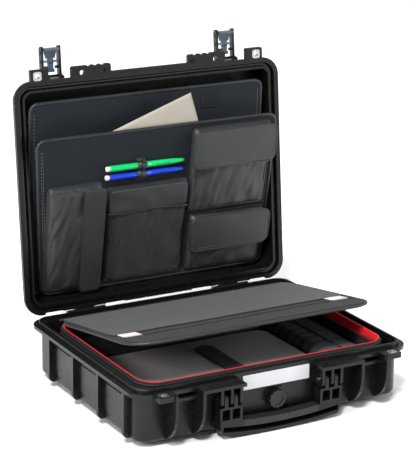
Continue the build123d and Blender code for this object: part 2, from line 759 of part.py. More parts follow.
def pouch_zip():
    z0 = sleeve_height() + pouch_height
    return block(160, 164, bag_front + bag_wall + 14, 98, z0, z0 + 1.6)


def zip_slider():
    z0 = sleeve_height() + pouch_height + 1.6 + soft_gap
    return block(158.5, 165.5, bag_front + bag_wall + 16, bag_front + bag_wall + 28, z0, z0 + 2.6)


flap_hinge_y = bag_back - 2.0
flap_root = 4.0          # hinge line to the flap's rear edge
binding_front = 3.2      # hinge line to the binding's front; its corners clear the turning flap
flap_hinge_z = bag_top + soft_gap + flap_thickness / 2


def flap_raised(shape):
    back = Pos(0, -flap_hinge_y, -flap_hinge_z)
    return Pos(0, flap_hinge_y, flap_hinge_z) * Rot(-flap_angle, 0, 0) * back * shape


def bag_flap():
    z0 = bag_top + soft_gap
    back = flap_hinge_y - flap_root
    z1 = z0 + flap_thickness
    wide = flap_half_width
    body = slab(-wide, wide, back - flap_length, back, z0, z1, flap_corner)
    body += slab(-wide, wide, back - 80, back, z0, z1, 10)
    return body


def flap_binding():
    z = flap_hinge_z
    half = flap_thickness / 2
    reach = flap_half_width - 8
    body = block(-reach, reach, flap_hinge_y - binding_front, flap_hinge_y + half, z - half, z + half)
    return fillet(body.edges().filter_by(Axis.X).group_by(Axis.Y)[-1], half - 0.2)


def flap_mesh():
    z0 = bag_top + soft_gap + flap_thickness
    back = flap_hinge_y - 10.0
    front = flap_hinge_y - flap_root - flap_length + 86.0
    return slab(-flap_half_width + 6, flap_half_width - 6, front, back, z0, z0 + mesh_thickness, 9)


def flap_front_band():
    z0 = bag_top + soft_gap + flap_thickness
    front = flap_hinge_y - flap_root - flap_length
    return slab(-flap_half_width + 5, flap_half_width - 5, front + 5, front + 57.0, z0, z0 + 1.0, 25)


def flap_tags():
    z0 = bag_top + soft_gap + flap_thickness
    y1 = flap_hinge_y - flap_root - flap_length + 84.0
    left = slab(-flap_half_width + 14, -flap_half_width + 44, y1 - 26, y1, z0, z0 + 0.8, 1)
    right = slab(flap_half_width - 44, flap_half_width - 14, y1 - 26, y1, z0, z0 + 0.8, 1)
    return left + right


# ---------------------------------------------------------------- organiser in the lid

def leaned(shape, hinge, angle):
    """Lean an organiser piece out of the lid about its lower edge, then open it with the lid."""
    there = Pos(0, hinge[0], hinge[1]) * Rot(angle, 0, 0) * Pos(0, -hinge[0], -hinge[1])
    return opened(there * shape)


def front_piece(shape):
    return leaned(shape, front_hinge, front_lean)


def back_piece(shape):
    return leaned(shape, back_hinge, back_lean)


def organiser_back_panel():
    z0 = back_panel_closed
    hem = rod_x(-196, 192, *back_hinge, back_hem_radius)
    return slab(-210, 206, -153, 159, z0, z0 + panel_thickness, 14) + hem


def organiser_patch():
    z0 = back_panel_closed - 0.8
    return slab(95, 133, -143, -116, z0, back_panel_closed, 2)


def organiser_front_panel():
    z0 = front_panel_closed
    outline = Polyline((panel_left, panel_top), (panel_right, panel_top), (panel_right, panel_bottom),
                       (panel_left_low, panel_bottom), close=True)
    face = fillet(make_face(outline.edges()).vertices(), panel_corner)
    panel = Pos(0, 0, z0) * extrude(face, panel_thickness)
    # rolled hem that the panel folds on, against the back wall of the lid
    hem = rod_x(panel_left_low + panel_corner, panel_right - panel_corner, *front_hinge, panel_hem_radius)
    return panel + hem


def pocket(x0, x1, y0, y1, thickness, radius):
    """Closed soft pocket on the front of the pocket panel."""
    z1 = front_panel_closed
    body = slab(x0, x1, y0, y1, z1 - thickness, z1, radius)
    return fillet(body.faces().sort_by(Axis.Z)[0].edges(), min(6.0, thickness / 3))


upper_pocket_box = (60.0, 204.0, -96.0, 50.0)
lower_pocket_box = (66.0, 207.0, 56.0, 157.0)
pouch_box = (-192.0, -98.0, -24.0, 158.0)
mesh_box = (-90.0, 56.0, -12.0, 154.0)
pocket_depth = 18.0
mesh_depth = 13.0
flap_soft = 2.4
flap_gap = 0.6


def flap_sheet_z():
    """Inner and outer side of the flaps' sheets with the lid shut."""
    z1 = front_panel_closed - pocket_depth - flap_gap
    return z1 - flap_soft, z1


def hinged_flap(box, drop, overhang=4.0):
    """Cover flap that hangs in front of a pocket from the pocket's top front edge."""
    x0, x1, y0, _ = box
    z0, z1 = flap_sheet_z()
    x0, x1 = x0 - overhang, x1 + overhang
    fold = rod_x(x0, x1, y0, (z0 + z1) / 2, flap_soft / 2)
    return slab(x0, x1, y0, y0 + drop, z0, z1, 16) + block(x0, x1, y0, y0 + drop / 2, z0, z1) + fold


def pouch_side_flap():
    """Long cover of the tall pouch, rooted along the pouch's right front edge."""
    x0, x1 = pouch_box[1] - 36, pouch_box[1] - 0.2
    y0, y1 = pouch_box[2] + 3, pouch_box[3] - 2
    z0, z1 = flap_sheet_z()
    fold = rod_y(x1, y0, y1, (z0 + z1) / 2, flap_soft / 2)
    return slab(x0, x1, y0, y1, z0, z1, 8) + block(x1 - 18, x1, y0, y1, z0, z1) + fold


pen_y = (-46.5, -31.5)
pen_radius = 5.0
pen_length = 140.0
pen_left = -95.0
loop_x = (-43.0, -22.0)
loop_skin = 1.2
pen_gap = 0.1
pen_depth = pen_radius + loop_skin + 0.2


def pen(y):
    z = front_panel_closed - pen_depth
    waist = pen_left + pen_length * 0.58
    shoulder = pen_left + pen_length - 22
    body = rod_x(pen_left, pen_left + 7, y, z, pen_radius - 1.0)
    body += rod_x(pen_left + 7, waist, y, z, pen_radius)
    body += rod_x(waist, shoulder, y, z, pen_radius - 0.6)
    nose = Pos(shoulder + 11, y, z) * Rot(0, 90, 0) * Cone(pen_radius - 0.6, 2.4, 22)
    return body + nose


def pen_loop():
    """Two sewn tubes side by side."""
    z = front_panel_closed - pen_depth
    x0, x1 = loop_x
    tube_radius = pen_radius + pen_gap + loop_skin
    tubes = [rod_x(x0, x1, y, z, tube_radius) for y in pen_y]
    seam = block(x0, x1, pen_y[0], pen_y[1], z + 1.0, z + 4.0)
    body = joined(tubes + [seam])
    for y in pen_y:
        body -= rod_x(x0 - 1, x1 + 1, y, z, pen_radius + pen_gap)
    return body


def document_sheet():
    """Plain sheet that stands tilted behind the pocket panel."""
    z0 = front_panel_closed + panel_thickness + soft_gap
    turn = Pos(52, -157, 0) * Rot(0, 0, -20.5)
    sheet = Pos(-72, 100, z0) * Box(144, 200, 1.0, align=(Align.CENTER, Align.CENTER, Align.MIN))
    return turn * sheet


# ---------------------------------------------------------------- assembly

def build():
    PARTS["base_shell"] = base_shell()
    PARTS["base_padlock_eyes"] = padlock_eye(lip_top, 1)
    PARTS["label_plate"] = label_plate()
    PARTS["valve_housing"] = valve_housing()
    PARTS["valve_knob"] = valve_knob()
    PARTS["handle_frame"] = handle_frame()
    PARTS["handle_grip"] = handle_grip()
    PARTS["handle_pins"] = both_sides(rod_x(lug_ribs[0] - 4.4, lug_ribs[-1] + 2.2, -handle_y, handle_z,
                                            handle_pin_radius))
    start = hinge_middle - hinge_length / 2
    PARTS["hinge_pins"] = both_sides(rod_x(start, start + hinge_length, hinge_y, hinge_z, hinge_pin_radius))

    PARTS["bag_body"] = bag_body()
    PARTS["bag_lining"] = bag_lining()
    PARTS["bag_zip_tape"] = bag_zip_tape()
    PARTS["laptop_pad"] = laptop_pad()
    PARTS["pad_strap"] = pad_strap()
    PARTS["back_compartment"] = back_compartment()
    PARTS["cable_pouch"] = cable_pouch()
    PARTS["pouch_zip"] = pouch_zip()
    PARTS["zip_slider"] = zip_slider()
    PARTS["flap_binding"] = flap_raised(flap_binding())
    PARTS["bag_flap"] = flap_raised(bag_flap())
    PARTS["flap_mesh"] = flap_raised(flap_mesh())
    PARTS["flap_front_band"] = flap_raised(flap_front_band())
    PARTS["flap_tags"] = flap_raised(flap_tags())

    PARTS["lid_shell"] = opened(lid_shell())
    PARTS["lid_gasket"] = opened(lid_gasket())
    PARTS["lid_padlock_eyes"] = opened(padlock_eye(lid_face, -1))
    add_latch("latch_left", -latch_x)
    add_latch("latch_right", latch_x)

    PARTS["organiser_back_panel"] = back_piece(organiser_back_panel())
    PARTS["organiser_patch"] = back_piece(organiser_patch())
    PARTS["organiser_front_panel"] = front_piece(organiser_front_panel())
    PARTS["tall_pouch"] = front_piece(pocket(*pouch_box, pocket_depth, 8))
    PARTS["tall_pouch_flap"] = front_piece(pouch_side_flap())
    PARTS["mesh_pocket"] = front_piece(pocket(*mesh_box, mesh_depth, 8))
    PARTS["upper_pocket"] = front_piece(pocket(*upper_pocket_box, pocket_depth, 8))
    PARTS["upper_pocket_flap"] = front_piece(hinged_flap(upper_pocket_box, 64))
    PARTS["lower_pocket"] = front_piece(pocket(*lower_pocket_box, pocket_depth, 8))
    PARTS["lower_pocket_flap"] = front_piece(hinged_flap(lower_pocket_box, 60))
    PARTS["pen_loop"] = front_piece(pen_loop())
    PARTS["pen_green"] = front_piece(pen(pen_y[0]))
    PARTS["pen_blue"] = front_piece(pen(pen_y[1]))
    PARTS["document_sheet"] = front_piece(document_sheet())


build()
os.makedirs("parts", exist_ok=True)
for name, shape in PARTS.items():
    solids = shape.solids()
    export_step(Compound(children=list(solids)) if len(solids) > 1 else solids[0], f"parts/{name}.step")
    print(f"{name}: {len(solids)} solid(s)")
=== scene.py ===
import json
import math

import bmesh
import bpy
from mathutils import Euler, Matrix, Vector, noise

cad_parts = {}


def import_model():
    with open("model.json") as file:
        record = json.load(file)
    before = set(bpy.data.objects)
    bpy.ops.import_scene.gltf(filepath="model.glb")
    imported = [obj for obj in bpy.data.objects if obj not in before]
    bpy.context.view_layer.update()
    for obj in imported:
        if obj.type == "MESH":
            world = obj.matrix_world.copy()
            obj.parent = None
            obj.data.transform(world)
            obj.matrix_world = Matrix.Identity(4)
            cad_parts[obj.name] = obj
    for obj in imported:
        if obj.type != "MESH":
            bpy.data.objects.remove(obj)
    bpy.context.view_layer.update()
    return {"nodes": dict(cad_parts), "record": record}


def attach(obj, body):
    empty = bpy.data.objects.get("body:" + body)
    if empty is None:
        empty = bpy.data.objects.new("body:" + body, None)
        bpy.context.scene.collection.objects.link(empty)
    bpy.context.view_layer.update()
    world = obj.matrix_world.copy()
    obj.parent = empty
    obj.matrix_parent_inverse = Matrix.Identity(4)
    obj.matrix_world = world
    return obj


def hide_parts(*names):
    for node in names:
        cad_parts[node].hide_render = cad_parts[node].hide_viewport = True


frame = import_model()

MM = 0.001

# ---------------------------------------------------------------- places, in mm with the lid shut

LID_HINGE = (189.0, 87.5)
LID_ANGLE = -95.5
FRONT_HINGE = (163.0, 129.0)
FRONT_LEAN = 14.5
BACK_HINGE = (159.0, 135.5)
BACK_LEAN = 8.0
FLAP_HINGE = (140.0, 97.3)
FLAP_ANGLE = -9.4
FRONT_FACE = 127.0
BACK_FACE = 133.5
PANEL_THICKNESS = 4.0


def turned(hinge, angle):
    """Matrix of a turn about a line along X through (y, z), in millimetres."""
    y, z = hinge
    there = Matrix.Translation((0, y, z))
    return there @ Matrix.Rotation(math.radians(angle), 4, "X") @ there.inverted()


OPENED = turned(LID_HINGE, LID_ANGLE)
FRONT = OPENED @ turned(FRONT_HINGE, FRONT_LEAN)
BACK = OPENED @ turned(BACK_HINGE, BACK_LEAN)
FLAP = turned(FLAP_HINGE, FLAP_ANGLE)
FIXED = Matrix.Identity(4)


# ---------------------------------------------------------------- node helpers

class Nodes:
    """Short way to write a material's node tree."""

    def __init__(self, name):
        self.material = bpy.data.materials.new(name)
        self.material.use_nodes = True
        self.tree = self.material.node_tree
        self.shader = self.tree.nodes["Principled BSDF"]
        self.place = self.add("ShaderNodeTexCoord").outputs["Object"]

    def add(self, kind, **inputs):
        node = self.tree.nodes.new(kind)
        for name, value in inputs.items():
            self.feed(node.inputs[name], value)
        return node

    def feed(self, socket, value):
        if isinstance(value, bpy.types.NodeSocket):
            self.tree.links.new(value, socket)
        else:
            socket.default_value = value

    def math(self, operation, a, b=0.0):
        node = self.add("ShaderNodeMath")
        node.operation = operation
        self.feed(node.inputs[0], a)
        self.feed(node.inputs[1], b)
        return node.outputs[0]

    def noise(self, scale, detail=3.0):
        node = self.add("ShaderNodeTexNoise", Vector=self.place, Scale=scale, Detail=detail)
        return node.outputs["Fac"]

    def bands(self, axis, scale):
        node = self.add("ShaderNodeTexWave", Vector=self.place, Scale=scale)
        node.bands_direction = axis
        return node.outputs["Fac"]

    def blend(self, factor, dark, light):
        node = self.add("ShaderNodeValToRGB", Fac=factor)
        node.color_ramp.elements[0].color = (*dark, 1)
        node.color_ramp.elements[1].color = (*light, 1)
        return node.outputs["Color"]

    def spread(self, factor, low, high):
        node = self.add("ShaderNodeMapRange", Value=factor)
        node.inputs["To Min"].default_value = low
        node.inputs["To Max"].default_value = high
        return node.outputs["Result"]

    def bump(self, height, depth_mm):
        node = self.add("ShaderNodeBump", Height=height)
        node.inputs["Strength"].default_value = 1.0
        node.inputs["Distance"].default_value = depth_mm * MM
        self.tree.links.new(node.outputs["Normal"], self.shader.inputs["Normal"])

    def set(self, **inputs):
        for name, value in inputs.items():
            self.feed(self.shader.inputs[name.replace("_", " ")], value)


def band_scale(pitch):
    """Wave texture scale that repeats a band every pitch millimetres."""
    return 2 * math.pi / (20 * pitch * MM)


def shade(colour, factor):
    """Lighter or darker version of a colour."""
    return tuple(min(1.0, c * factor) for c in colour)


# noise scales of each kind of surface, from broad stains to fine grain
PLASTIC_STAIN, PLASTIC_DULL, PLASTIC_GRAIN = 18.0, 60.0, 1400.0
METAL_STAIN, METAL_DULL, METAL_GRAIN = 90.0, 300.0, 500.0
CLOTH_PATCH, CLOTH_FUZZ, CLOTH_GRAIN = 22.0, 420.0, 900.0
PAPER_STAIN, PAPER_DULL, PAPER_GRAIN = 12.0, 200.0, 1200.0
RIB_DULL = 80.0
CLOTH_SHINE = 0.22


def plastic(name, colour, rough, grain, specular=0.5):
    """Moulded plastic: faint stains, uneven gloss and a fine grain."""
    n = Nodes(name)
    patches = n.noise(PLASTIC_STAIN, 4.0)
    n.set(Base_Color=n.blend(patches, shade(colour, 0.8), shade(colour, 1.25)))
    n.set(Roughness=n.spread(n.noise(PLASTIC_DULL), rough - 0.06, rough + 0.08))
    n.shader.inputs["Specular IOR Level"].default_value = specular
    n.bump(n.noise(PLASTIC_GRAIN, 2.0), grain)
    return n.material


def metal(name, colour, rough):
    """Plated metal with slightly uneven polish."""
    n = Nodes(name)
    n.shader.inputs["Metallic"].default_value = 1.0
    n.set(Base_Color=n.blend(n.noise(METAL_STAIN), shade(colour, 0.86), shade(colour, 1.08)))
    n.set(Roughness=n.spread(n.noise(METAL_DULL), rough - 0.05, rough + 0.1))
    n.bump(n.noise(METAL_GRAIN), 0.03)
    return n.material


FLAT = ("X", "Y")
UPRIGHT = ("X", "Z")


def cloth(name, colour, pitch, rough, sheen, depth, vary=1.35, axes=UPRIGHT, shine=CLOTH_SHINE):
    """Plain weave: two crossed sets of threads, with broad worn patches and fine fuzz."""
    n = Nodes(name)
    scale = band_scale(pitch)
    weave = n.math("MULTIPLY", n.bands(axes[0], scale), n.bands(axes[1], scale))
    patches = n.noise(CLOTH_PATCH, 5.0)
    fuzz = n.noise(CLOTH_FUZZ, 3.0)
    worn = n.math("MULTIPLY", n.math("ADD", patches, n.math("MULTIPLY", fuzz, 1.4)), 0.42)
    n.set(Base_Color=n.blend(worn, shade(colour, 1 / (vary * vary)), shade(colour, vary * vary)))
    n.set(Roughness=n.spread(patches, rough - 0.08, rough + 0.1))
    n.shader.inputs["Specular IOR Level"].default_value = shine
    n.shader.inputs["Sheen Weight"].default_value = sheen
    n.shader.inputs["Sheen Roughness"].default_value = 0.45
    n.bump(n.math("ADD", weave, n.math("MULTIPLY", n.noise(CLOTH_GRAIN), 0.4)), depth)
    return n.material


def mesh_cloth(name, thread, hole, pitch, axes=UPRIGHT, shine=CLOTH_SHINE):
    """Knitted mesh: holes in a square grid between raised threads, the holes coloured dark as painted
    shade.
    """
    n = Nodes(name)
    scale = band_scale(pitch)
    grid = n.math("MULTIPLY", n.bands(axes[0], scale), n.bands(axes[1], scale))
    # the thread colour is the mesh's own; the hole colour is painted shade in the openings
    n.set(Base_Color=n.blend(grid, hole, thread))
    n.set(Roughness=n.spread(grid, 0.75, 0.45))
    n.shader.inputs["Specular IOR Level"].default_value = shine
    n.shader.inputs["Sheen Weight"].default_value = 0.2
    n.bump(grid, 0.35)
    return n.material


def ribbed(name, colour, pitch, axis, depth, rough):
    """Rubber or tape with raised ribs across one axis; its colour is painted lighter on the rib tops and
    darker in the grooves, as painted highlight and painted shade.
    """
    n = Nodes(name)
    scale = band_scale(pitch)
    ribs = n.bands(axis, scale)
    # painted highlight on the rib tops and painted shade in the grooves: the colour follows the ribs
    n.set(Base_Color=n.blend(ribs, shade(colour, 0.55), shade(colour, 1.25)))
    n.set(Roughness=n.spread(n.noise(RIB_DULL), rough - 0.06, rough + 0.08))
    n.bump(n.math("ADD", ribs, n.math("MULTIPLY", n.noise(CLOTH_GRAIN), 0.2)), depth)
    return n.material


def paper(name, colour):
    """Coated paper, a little uneven in tone."""
    n = Nodes(name)
    n.set(Base_Color=n.blend(n.noise(PAPER_STAIN, 5.0), shade(colour, 0.78), shade(colour, 1.05)))
    n.set(Roughness=n.spread(n.noise(PAPER_DULL), 0.42, 0.6))
    n.bump(n.noise(PAPER_GRAIN), 0.02)
    return n.material


M = {
    "case_plastic": plastic("case_plastic", (0.0045, 0.0046, 0.0048), 0.27, 0.12, 0.34),
    "handle_plastic": plastic("handle_plastic", (0.0045, 0.0046, 0.0048), 0.3, 0.08, 0.34),
    "grip_rubber": ribbed("grip_rubber", (0.014, 0.0145, 0.015), 4.2, "X", 0.9, 0.5),
    "nickel": metal("nickel", (0.78, 0.75, 0.70), 0.2),
    "pin_steel": metal("pin_steel", (0.5, 0.5, 0.5), 0.3),
    "latch_black": plastic("latch_black", (0.007, 0.008, 0.010), 0.3, 0.06, 0.4),
    "latch_grey": plastic("latch_grey", (0.055, 0.080, 0.115), 0.34, 0.05),
    "label_white": plastic("label_white", (0.50, 0.51, 0.525), 0.3, 0.01),
    "valve_plastic": plastic("valve_plastic", (0.006, 0.0065, 0.0075), 0.3, 0.06, 0.4),
    "gasket_rubber": plastic("gasket_rubber", (0.005, 0.0055, 0.006), 0.2, 0.02, 0.6),
    "bag_fabric": cloth("bag_fabric", (0.009, 0.010, 0.011), 1.6, 0.75, 0.06, 0.4),
    "lining_red": cloth("lining_red", (0.62, 0.006, 0.014), 0.8, 0.6, 0.1, 0.08, 1.2),
    "pad_grey": cloth("pad_grey", (0.20, 0.197, 0.193), 1.0, 0.85, 0.1, 0.08, 1.12, FLAT),
    "strap_black": cloth("strap_black", (0.008, 0.0085, 0.009), 2.0, 0.6, 0.06, 0.4, 1.3, FLAT),
    "pouch_grey": ribbed("pouch_grey", (0.062, 0.066, 0.068), 21.0, "Y", 0.6, 0.6),
    "zip_black": ribbed("zip_black", (0.006, 0.006, 0.007), 2.4, "Y", 0.5, 0.45),
    "slider_metal": metal("slider_metal", (0.42, 0.40, 0.37), 0.3),
    "flap_grey": cloth("flap_grey", (0.009, 0.0095, 0.010), 2.0, 0.7, 0.06, 0.3, 1.35, FLAT),
    # the mesh's second colour is painted shade in its holes
    "mesh_grey": mesh_cloth("mesh_grey", (0.024, 0.0245, 0.025), (0.002, 0.0022, 0.0025),
                            3.9, FLAT, 0.12),
    "tag_white": cloth("tag_white", (0.70, 0.62, 0.60), 0.7, 0.6, 0.1, 0.05, 1.1, FLAT),
    "panel_fabric": cloth("panel_fabric", (0.0062, 0.0085, 0.0115), 1.9, 0.8, 0.08, 0.4, 1.5),
    "pocket_fabric": cloth("pocket_fabric", (0.0185, 0.019, 0.0215), 1.5, 0.42, 0.06, 0.16, 1.3,
                           shine=0.5),
    # the mesh's second colour is painted shade in its holes
    "pocket_mesh": mesh_cloth("pocket_mesh", (0.034, 0.038, 0.042), (0.003, 0.0035, 0.0045), 3.8),
    "piping_fabric": cloth("piping_fabric", (0.0065, 0.0075, 0.009), 0.9, 0.36, 0.1, 0.1, shine=0.55),
    "thread": cloth("thread", (0.085, 0.088, 0.094), 0.6, 0.5, 0.1, 0.1),
    "patch": cloth("patch", (0.0035, 0.004, 0.005), 1.0, 0.5, 0.05, 0.2),
    "paper_plain": paper("paper_plain", (0.42, 0.385, 0.33)),
    "pen_green_plastic": plastic("pen_green_plastic", (0.0, 0.50, 0.13), 0.22, 0.0),
    "pen_blue_plastic": plastic("pen_blue_plastic", (0.004, 0.035, 0.48), 0.22, 0.0),
    "pen_end": plastic("pen_end", (0.80, 0.74, 0.60), 0.4, 0.0),
}


# ---------------------------------------------------------------- CAD pieces that stay

record = frame["record"]
SLOT_OF = {p["node"]: p["material_slot"] for p in record["subparts"]}
for node, thing in frame["nodes"].items():
    thing.data.materials.clear()
    thing.data.materials.append(M[SLOT_OF[node]])


# ---------------------------------------------------------------- mesh helpers

def made(name, verts, faces, where, body, slot, look=None, nodes=()):
    """Mesh from millimetre points, put in place, given a look and set to ride on a body."""
    mesh = bpy.data.meshes.new(name)
    mesh.from_pydata([(where @ Vector(v)) * MM for v in verts], [], faces)
    bm = bmesh.new()
    bm.from_mesh(mesh)
    bmesh.ops.recalc_face_normals(bm, faces=bm.faces)
    bm.to_mesh(mesh)
    bm.free()
    for face in mesh.polygons:
        face.use_smooth = True
    thing = bpy.data.objects.new(name, mesh)
    bpy.context.collection.objects.link(thing)
    mesh.materials.append(M[look or slot])
    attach(thing, body)
    if nodes:
        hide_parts(*nodes)
    return thing


def rounded(x, y, half_x, half_y, radius):
    """Pull a point of a rectangle's grid in at the corners, so its edge is a round corner."""
    cx, cy = abs(x) - (half_x - radius), abs(y) - (half_y - radius)
    if cx <= 0 or cy <= 0:
        return x, y
    pull = max(cx, cy) / math.hypot(cx, cy)
    return (math.copysign(half_x - radius + cx * pull, x), math.copysign(half_y - radius + cy * pull, y))


def edge_steps(half, count):
    """Grid lines from -half to half, closer together near the ends."""
    return [half * math.sin(math.pi / 2 * (2 * k / count - 1)) for k in range(count + 1)]


def middle(box):
    """Centre and half sizes of a box given as x0, x1, y0, y1."""
    x0, x1, y0, y1 = box
    return (x0 + x1) / 2, (y0 + y1) / 2, (x1 - x0) / 2, (y1 - y0) / 2


def inset(box, by):
    """Box moved in on all four sides."""
    x0, x1, y0, y1 = box
    return x0 + by, x1 - by, y0 + by, y1 - by


def shell_faces(wide, tall):
    """Faces of two grids of points, one behind the other, joined round their rim."""
    faces = []
    layer = wide * tall
    for offset in (0, layer):
        for j in range(tall - 1):
            for i in range(wide - 1):
                a = offset + j * wide + i
                faces.append((a, a + 1, a + wide + 1, a + wide))
    loop = list(range(wide))
    loop += [j * wide + wide - 1 for j in range(1, tall)]
    loop += [(tall - 1) * wide + i for i in range(wide - 2, -1, -1)]
    loop += [j * wide for j in range(tall - 2, 0, -1)]
    for a, b in zip(loop, loop[1:] + loop[:1]):
        faces.append((a, b, b + layer, a + layer))
    return faces


def pillow(box, radius, back, front, count):
    """Closed form over a rounded rectangle. back and front give z from (x, y, distance to edge)."""
    mid_x, mid_y, half_x, half_y = middle(box)
    xs, ys = edge_steps(half_x, count[0]), edge_steps(half_y, count[1])
    verts = []
    for surface in (back, front):
        for y in ys:
            for x in xs:
                px, py = rounded(x, y, half_x, half_y, radius)
                gap = min(half_x - abs(x), half_y - abs(y))
                verts.append((mid_x + px, mid_y + py, surface(mid_x + px, mid_y + py, gap)))
    return verts, shell_faces(len(xs), len(ys))


def edge_round(gap, radius):
    """0 at the edge rising to 1 over radius, as a quarter circle."""
    t = min(max(gap, 0.0) / radius, 1.0)
    return math.sqrt(1 - (1 - t) ** 2)


def wrinkle(x, y, size, depth, seed):
    """Smooth uneven height, of the given size and depth in millimetres."""
    return depth * noise.noise(Vector((x / size, y / size, seed)))


def outline(box, radius, steps=8):
    """Points round a rounded rectangle, corner by corner."""
    x0, x1, y0, y1 = box
    points = []
    for cx, cy, start in ((x1 - radius, y0 + radius, -90), (x1 - radius, y1 - radius, 0),
                          (x0 + radius, y1 - radius, 90), (x0 + radius, y0 + radius, 180)):
        for k in range(steps + 1):
            a = math.radians(start + 90 * k / steps)
            points.append((cx + radius * math.cos(a), cy + radius * math.sin(a)))
    return points


def tube(points, radius, closed=False, sides=8):
    """Tube along a line of points, with flat ends where it is open."""
    points = [Vector(p) for p in points]
    count = len(points)
    verts, faces = [], []
    across = None
    for k, p in enumerate(points):
        before = points[k - 1] if closed or k else points[0]
        after = points[(k + 1) % count] if closed or k < count - 1 else points[-1]
        along = (after - before).normalized()
        if across is None:
            across = along.orthogonal().normalized()
        across = (across - along * across.dot(along)).normalized()
        other = along.cross(across)
        for s in range(sides):
            a = 2 * math.pi * s / sides
            verts.append(p + (across * math.cos(a) + other * math.sin(a)) * radius)
    for k in range(count if closed else count - 1):
        a, b = k * sides, ((k + 1) % count) * sides
        for s in range(sides):
            t = (s + 1) % sides
            faces.append((a + s, a + t, b + t, b + s))
    if not closed:
        faces.append(tuple(range(sides - 1, -1, -1)))
        faces.append(tuple(range((count - 1) * sides, count * sides)))
    return verts, faces


def lathe(profile, start, sides=24):
    """Solid turned about a line along X; the profile is (x, radius) from one end to the other."""
    verts, faces = [], []
    x0, y, z = start
    for x, radius in profile:
        for s in range(sides):
            a = 2 * math.pi * s / sides
            verts.append((x0 + x, y + radius * math.cos(a), z + radius * math.sin(a)))
    for k in range(len(profile) - 1):
        for s in range(sides):
            t = (s + 1) % sides
            a, b = k * sides, (k + 1) * sides
            faces.append((a + s, a + t, b + t, b + s))
    faces.append(tuple(range(sides - 1, -1, -1)))
    faces.append(tuple(range((len(profile) - 1) * sides, len(profile) * sides)))
    return verts, faces


def merged(*parts):
    """Several meshes as one."""
    verts, faces = [], []
    for v, f in parts:
        base = len(verts)
        verts += list(v)
        faces += [tuple(base + i for i in face) for face in f]
    return verts, faces


def stitches(points, length, gap, radius):
    """Short raised stitches along a line of points."""
    parts = []
    path = [Vector(p) for p in points]
    left = 0.0
    for a, b in zip(path, path[1:]):
        run = (b - a).length
        if run < 1e-6:
            continue
        step = (b - a) / run
        s = left
        while s + length <= run:
            parts.append(tube([a + step * s, a + step * (s + length)], radius, sides=4))
            s += length + gap
        left = max(0.0, s - run)
    return merged(*parts) if parts else ([], [])


# ---------------------------------------------------------------- organiser panels

FRONT_LEFT, FRONT_LEFT_LOW, FRONT_RIGHT = -215.0, -192.0, 214.0
FRONT_TOP, FRONT_BOTTOM, FRONT_CORNER = -105.0, 163.0, 15.0
FRONT_BOX = (FRONT_LEFT, FRONT_RIGHT, FRONT_TOP, FRONT_BOTTOM)
FRONT_SEAMS = (6.0, 9.0)        # how far the two rows of stitches lie from the edge
FRONT_SEED = 8.0
BACK_BOX, BACK_CORNER = (-210.0, 206.0, -153.0, 159.0), 14.0
BACK_SEAM = 7.0
BACK_SEED = 3.0
PANEL_THIN, PANEL_EDGE = 1.0, 3.0   # how much a panel thins at its edge, and over what width
PANEL_WRINKLE = (90.0, 0.8)     # size and depth
BINDING, BINDING_BACK = 2.6, 1.4    # radius, and how far it lies behind the panel's face
SUNK = 0.2                      # how far a seam sits into its cloth
PANEL_STITCH = (3.4, 2.4, 0.5)  # length, gap and radius, as in all stitch values below

PATCH_BOX, PATCH_CORNER = (95.0, 133.0, -143.0, -116.0), 2.0
PATCH_RISE = 1.0
PATCH_SEAM = 1.5
PATCH_STITCH = (1.2, 0.8, 0.2)


def narrowed(x, y):
    """The pocket panel's left side runs in towards its lower edge."""
    low = (y - FRONT_TOP) / (FRONT_BOTTOM - FRONT_TOP)
    left = FRONT_LEFT + (FRONT_LEFT_LOW - FRONT_LEFT) * low
    share = (x - FRONT_LEFT) / (FRONT_RIGHT - FRONT_LEFT)
    return left + (FRONT_RIGHT - left) * share


def panel_face(x, y, gap, face, seed):
    """Uneven front of a panel."""
    return face + PANEL_THIN * (1 - edge_round(gap, PANEL_EDGE)) + wrinkle(x, y, *PANEL_WRINKLE, seed)


def panel_back(gap, face):
    """Plain back of a panel."""
    return face + PANEL_THICKNESS - PANEL_THIN * (1 - edge_round(gap, PANEL_EDGE))


def organiser_back():
    shape = pillow(BACK_BOX, BACK_CORNER, lambda x, y, g: panel_back(g, BACK_FACE),
                   lambda x, y, g: panel_face(x, y, g, BACK_FACE, BACK_SEED), (60, 46))
    made("back_panel", *shape, BACK, "organiser_back", "panel_fabric", nodes=["organiser_back_panel"])
    edge = [(x, y, BACK_FACE + BINDING_BACK) for x, y in outline(BACK_BOX, BACK_CORNER)]
    made("back_panel_piping", *tube(edge, BINDING, True), BACK, "organiser_back", "piping_fabric")
    seam = outline(inset(BACK_BOX, BACK_SEAM), BACK_CORNER - BACK_SEAM)
    path = [(x, y, panel_face(x, y, BACK_SEAM, BACK_FACE, BACK_SEED) - SUNK) for x, y in seam]
    line = stitches(path, *PANEL_STITCH)
    made("back_panel_stitches", *line, BACK, "organiser_back", "piping_fabric", "thread")


def patch():
    shape = pillow(PATCH_BOX, PATCH_CORNER, lambda x, y, g: BACK_FACE,
                   lambda x, y, g: BACK_FACE - PATCH_RISE + 0.5 * (1 - edge_round(g, 1.0)), (14, 12))
    made("patch", *shape, BACK, "organiser_back", "piping_fabric", "patch", ["organiser_patch"])
    seam = outline(inset(PATCH_BOX, PATCH_SEAM), PATCH_SEAM, 3)
    line = stitches([(x, y, BACK_FACE - PATCH_RISE) for x, y in seam], *PATCH_STITCH)
    made("patch_stitches", *line, BACK, "organiser_back", "piping_fabric", "thread")


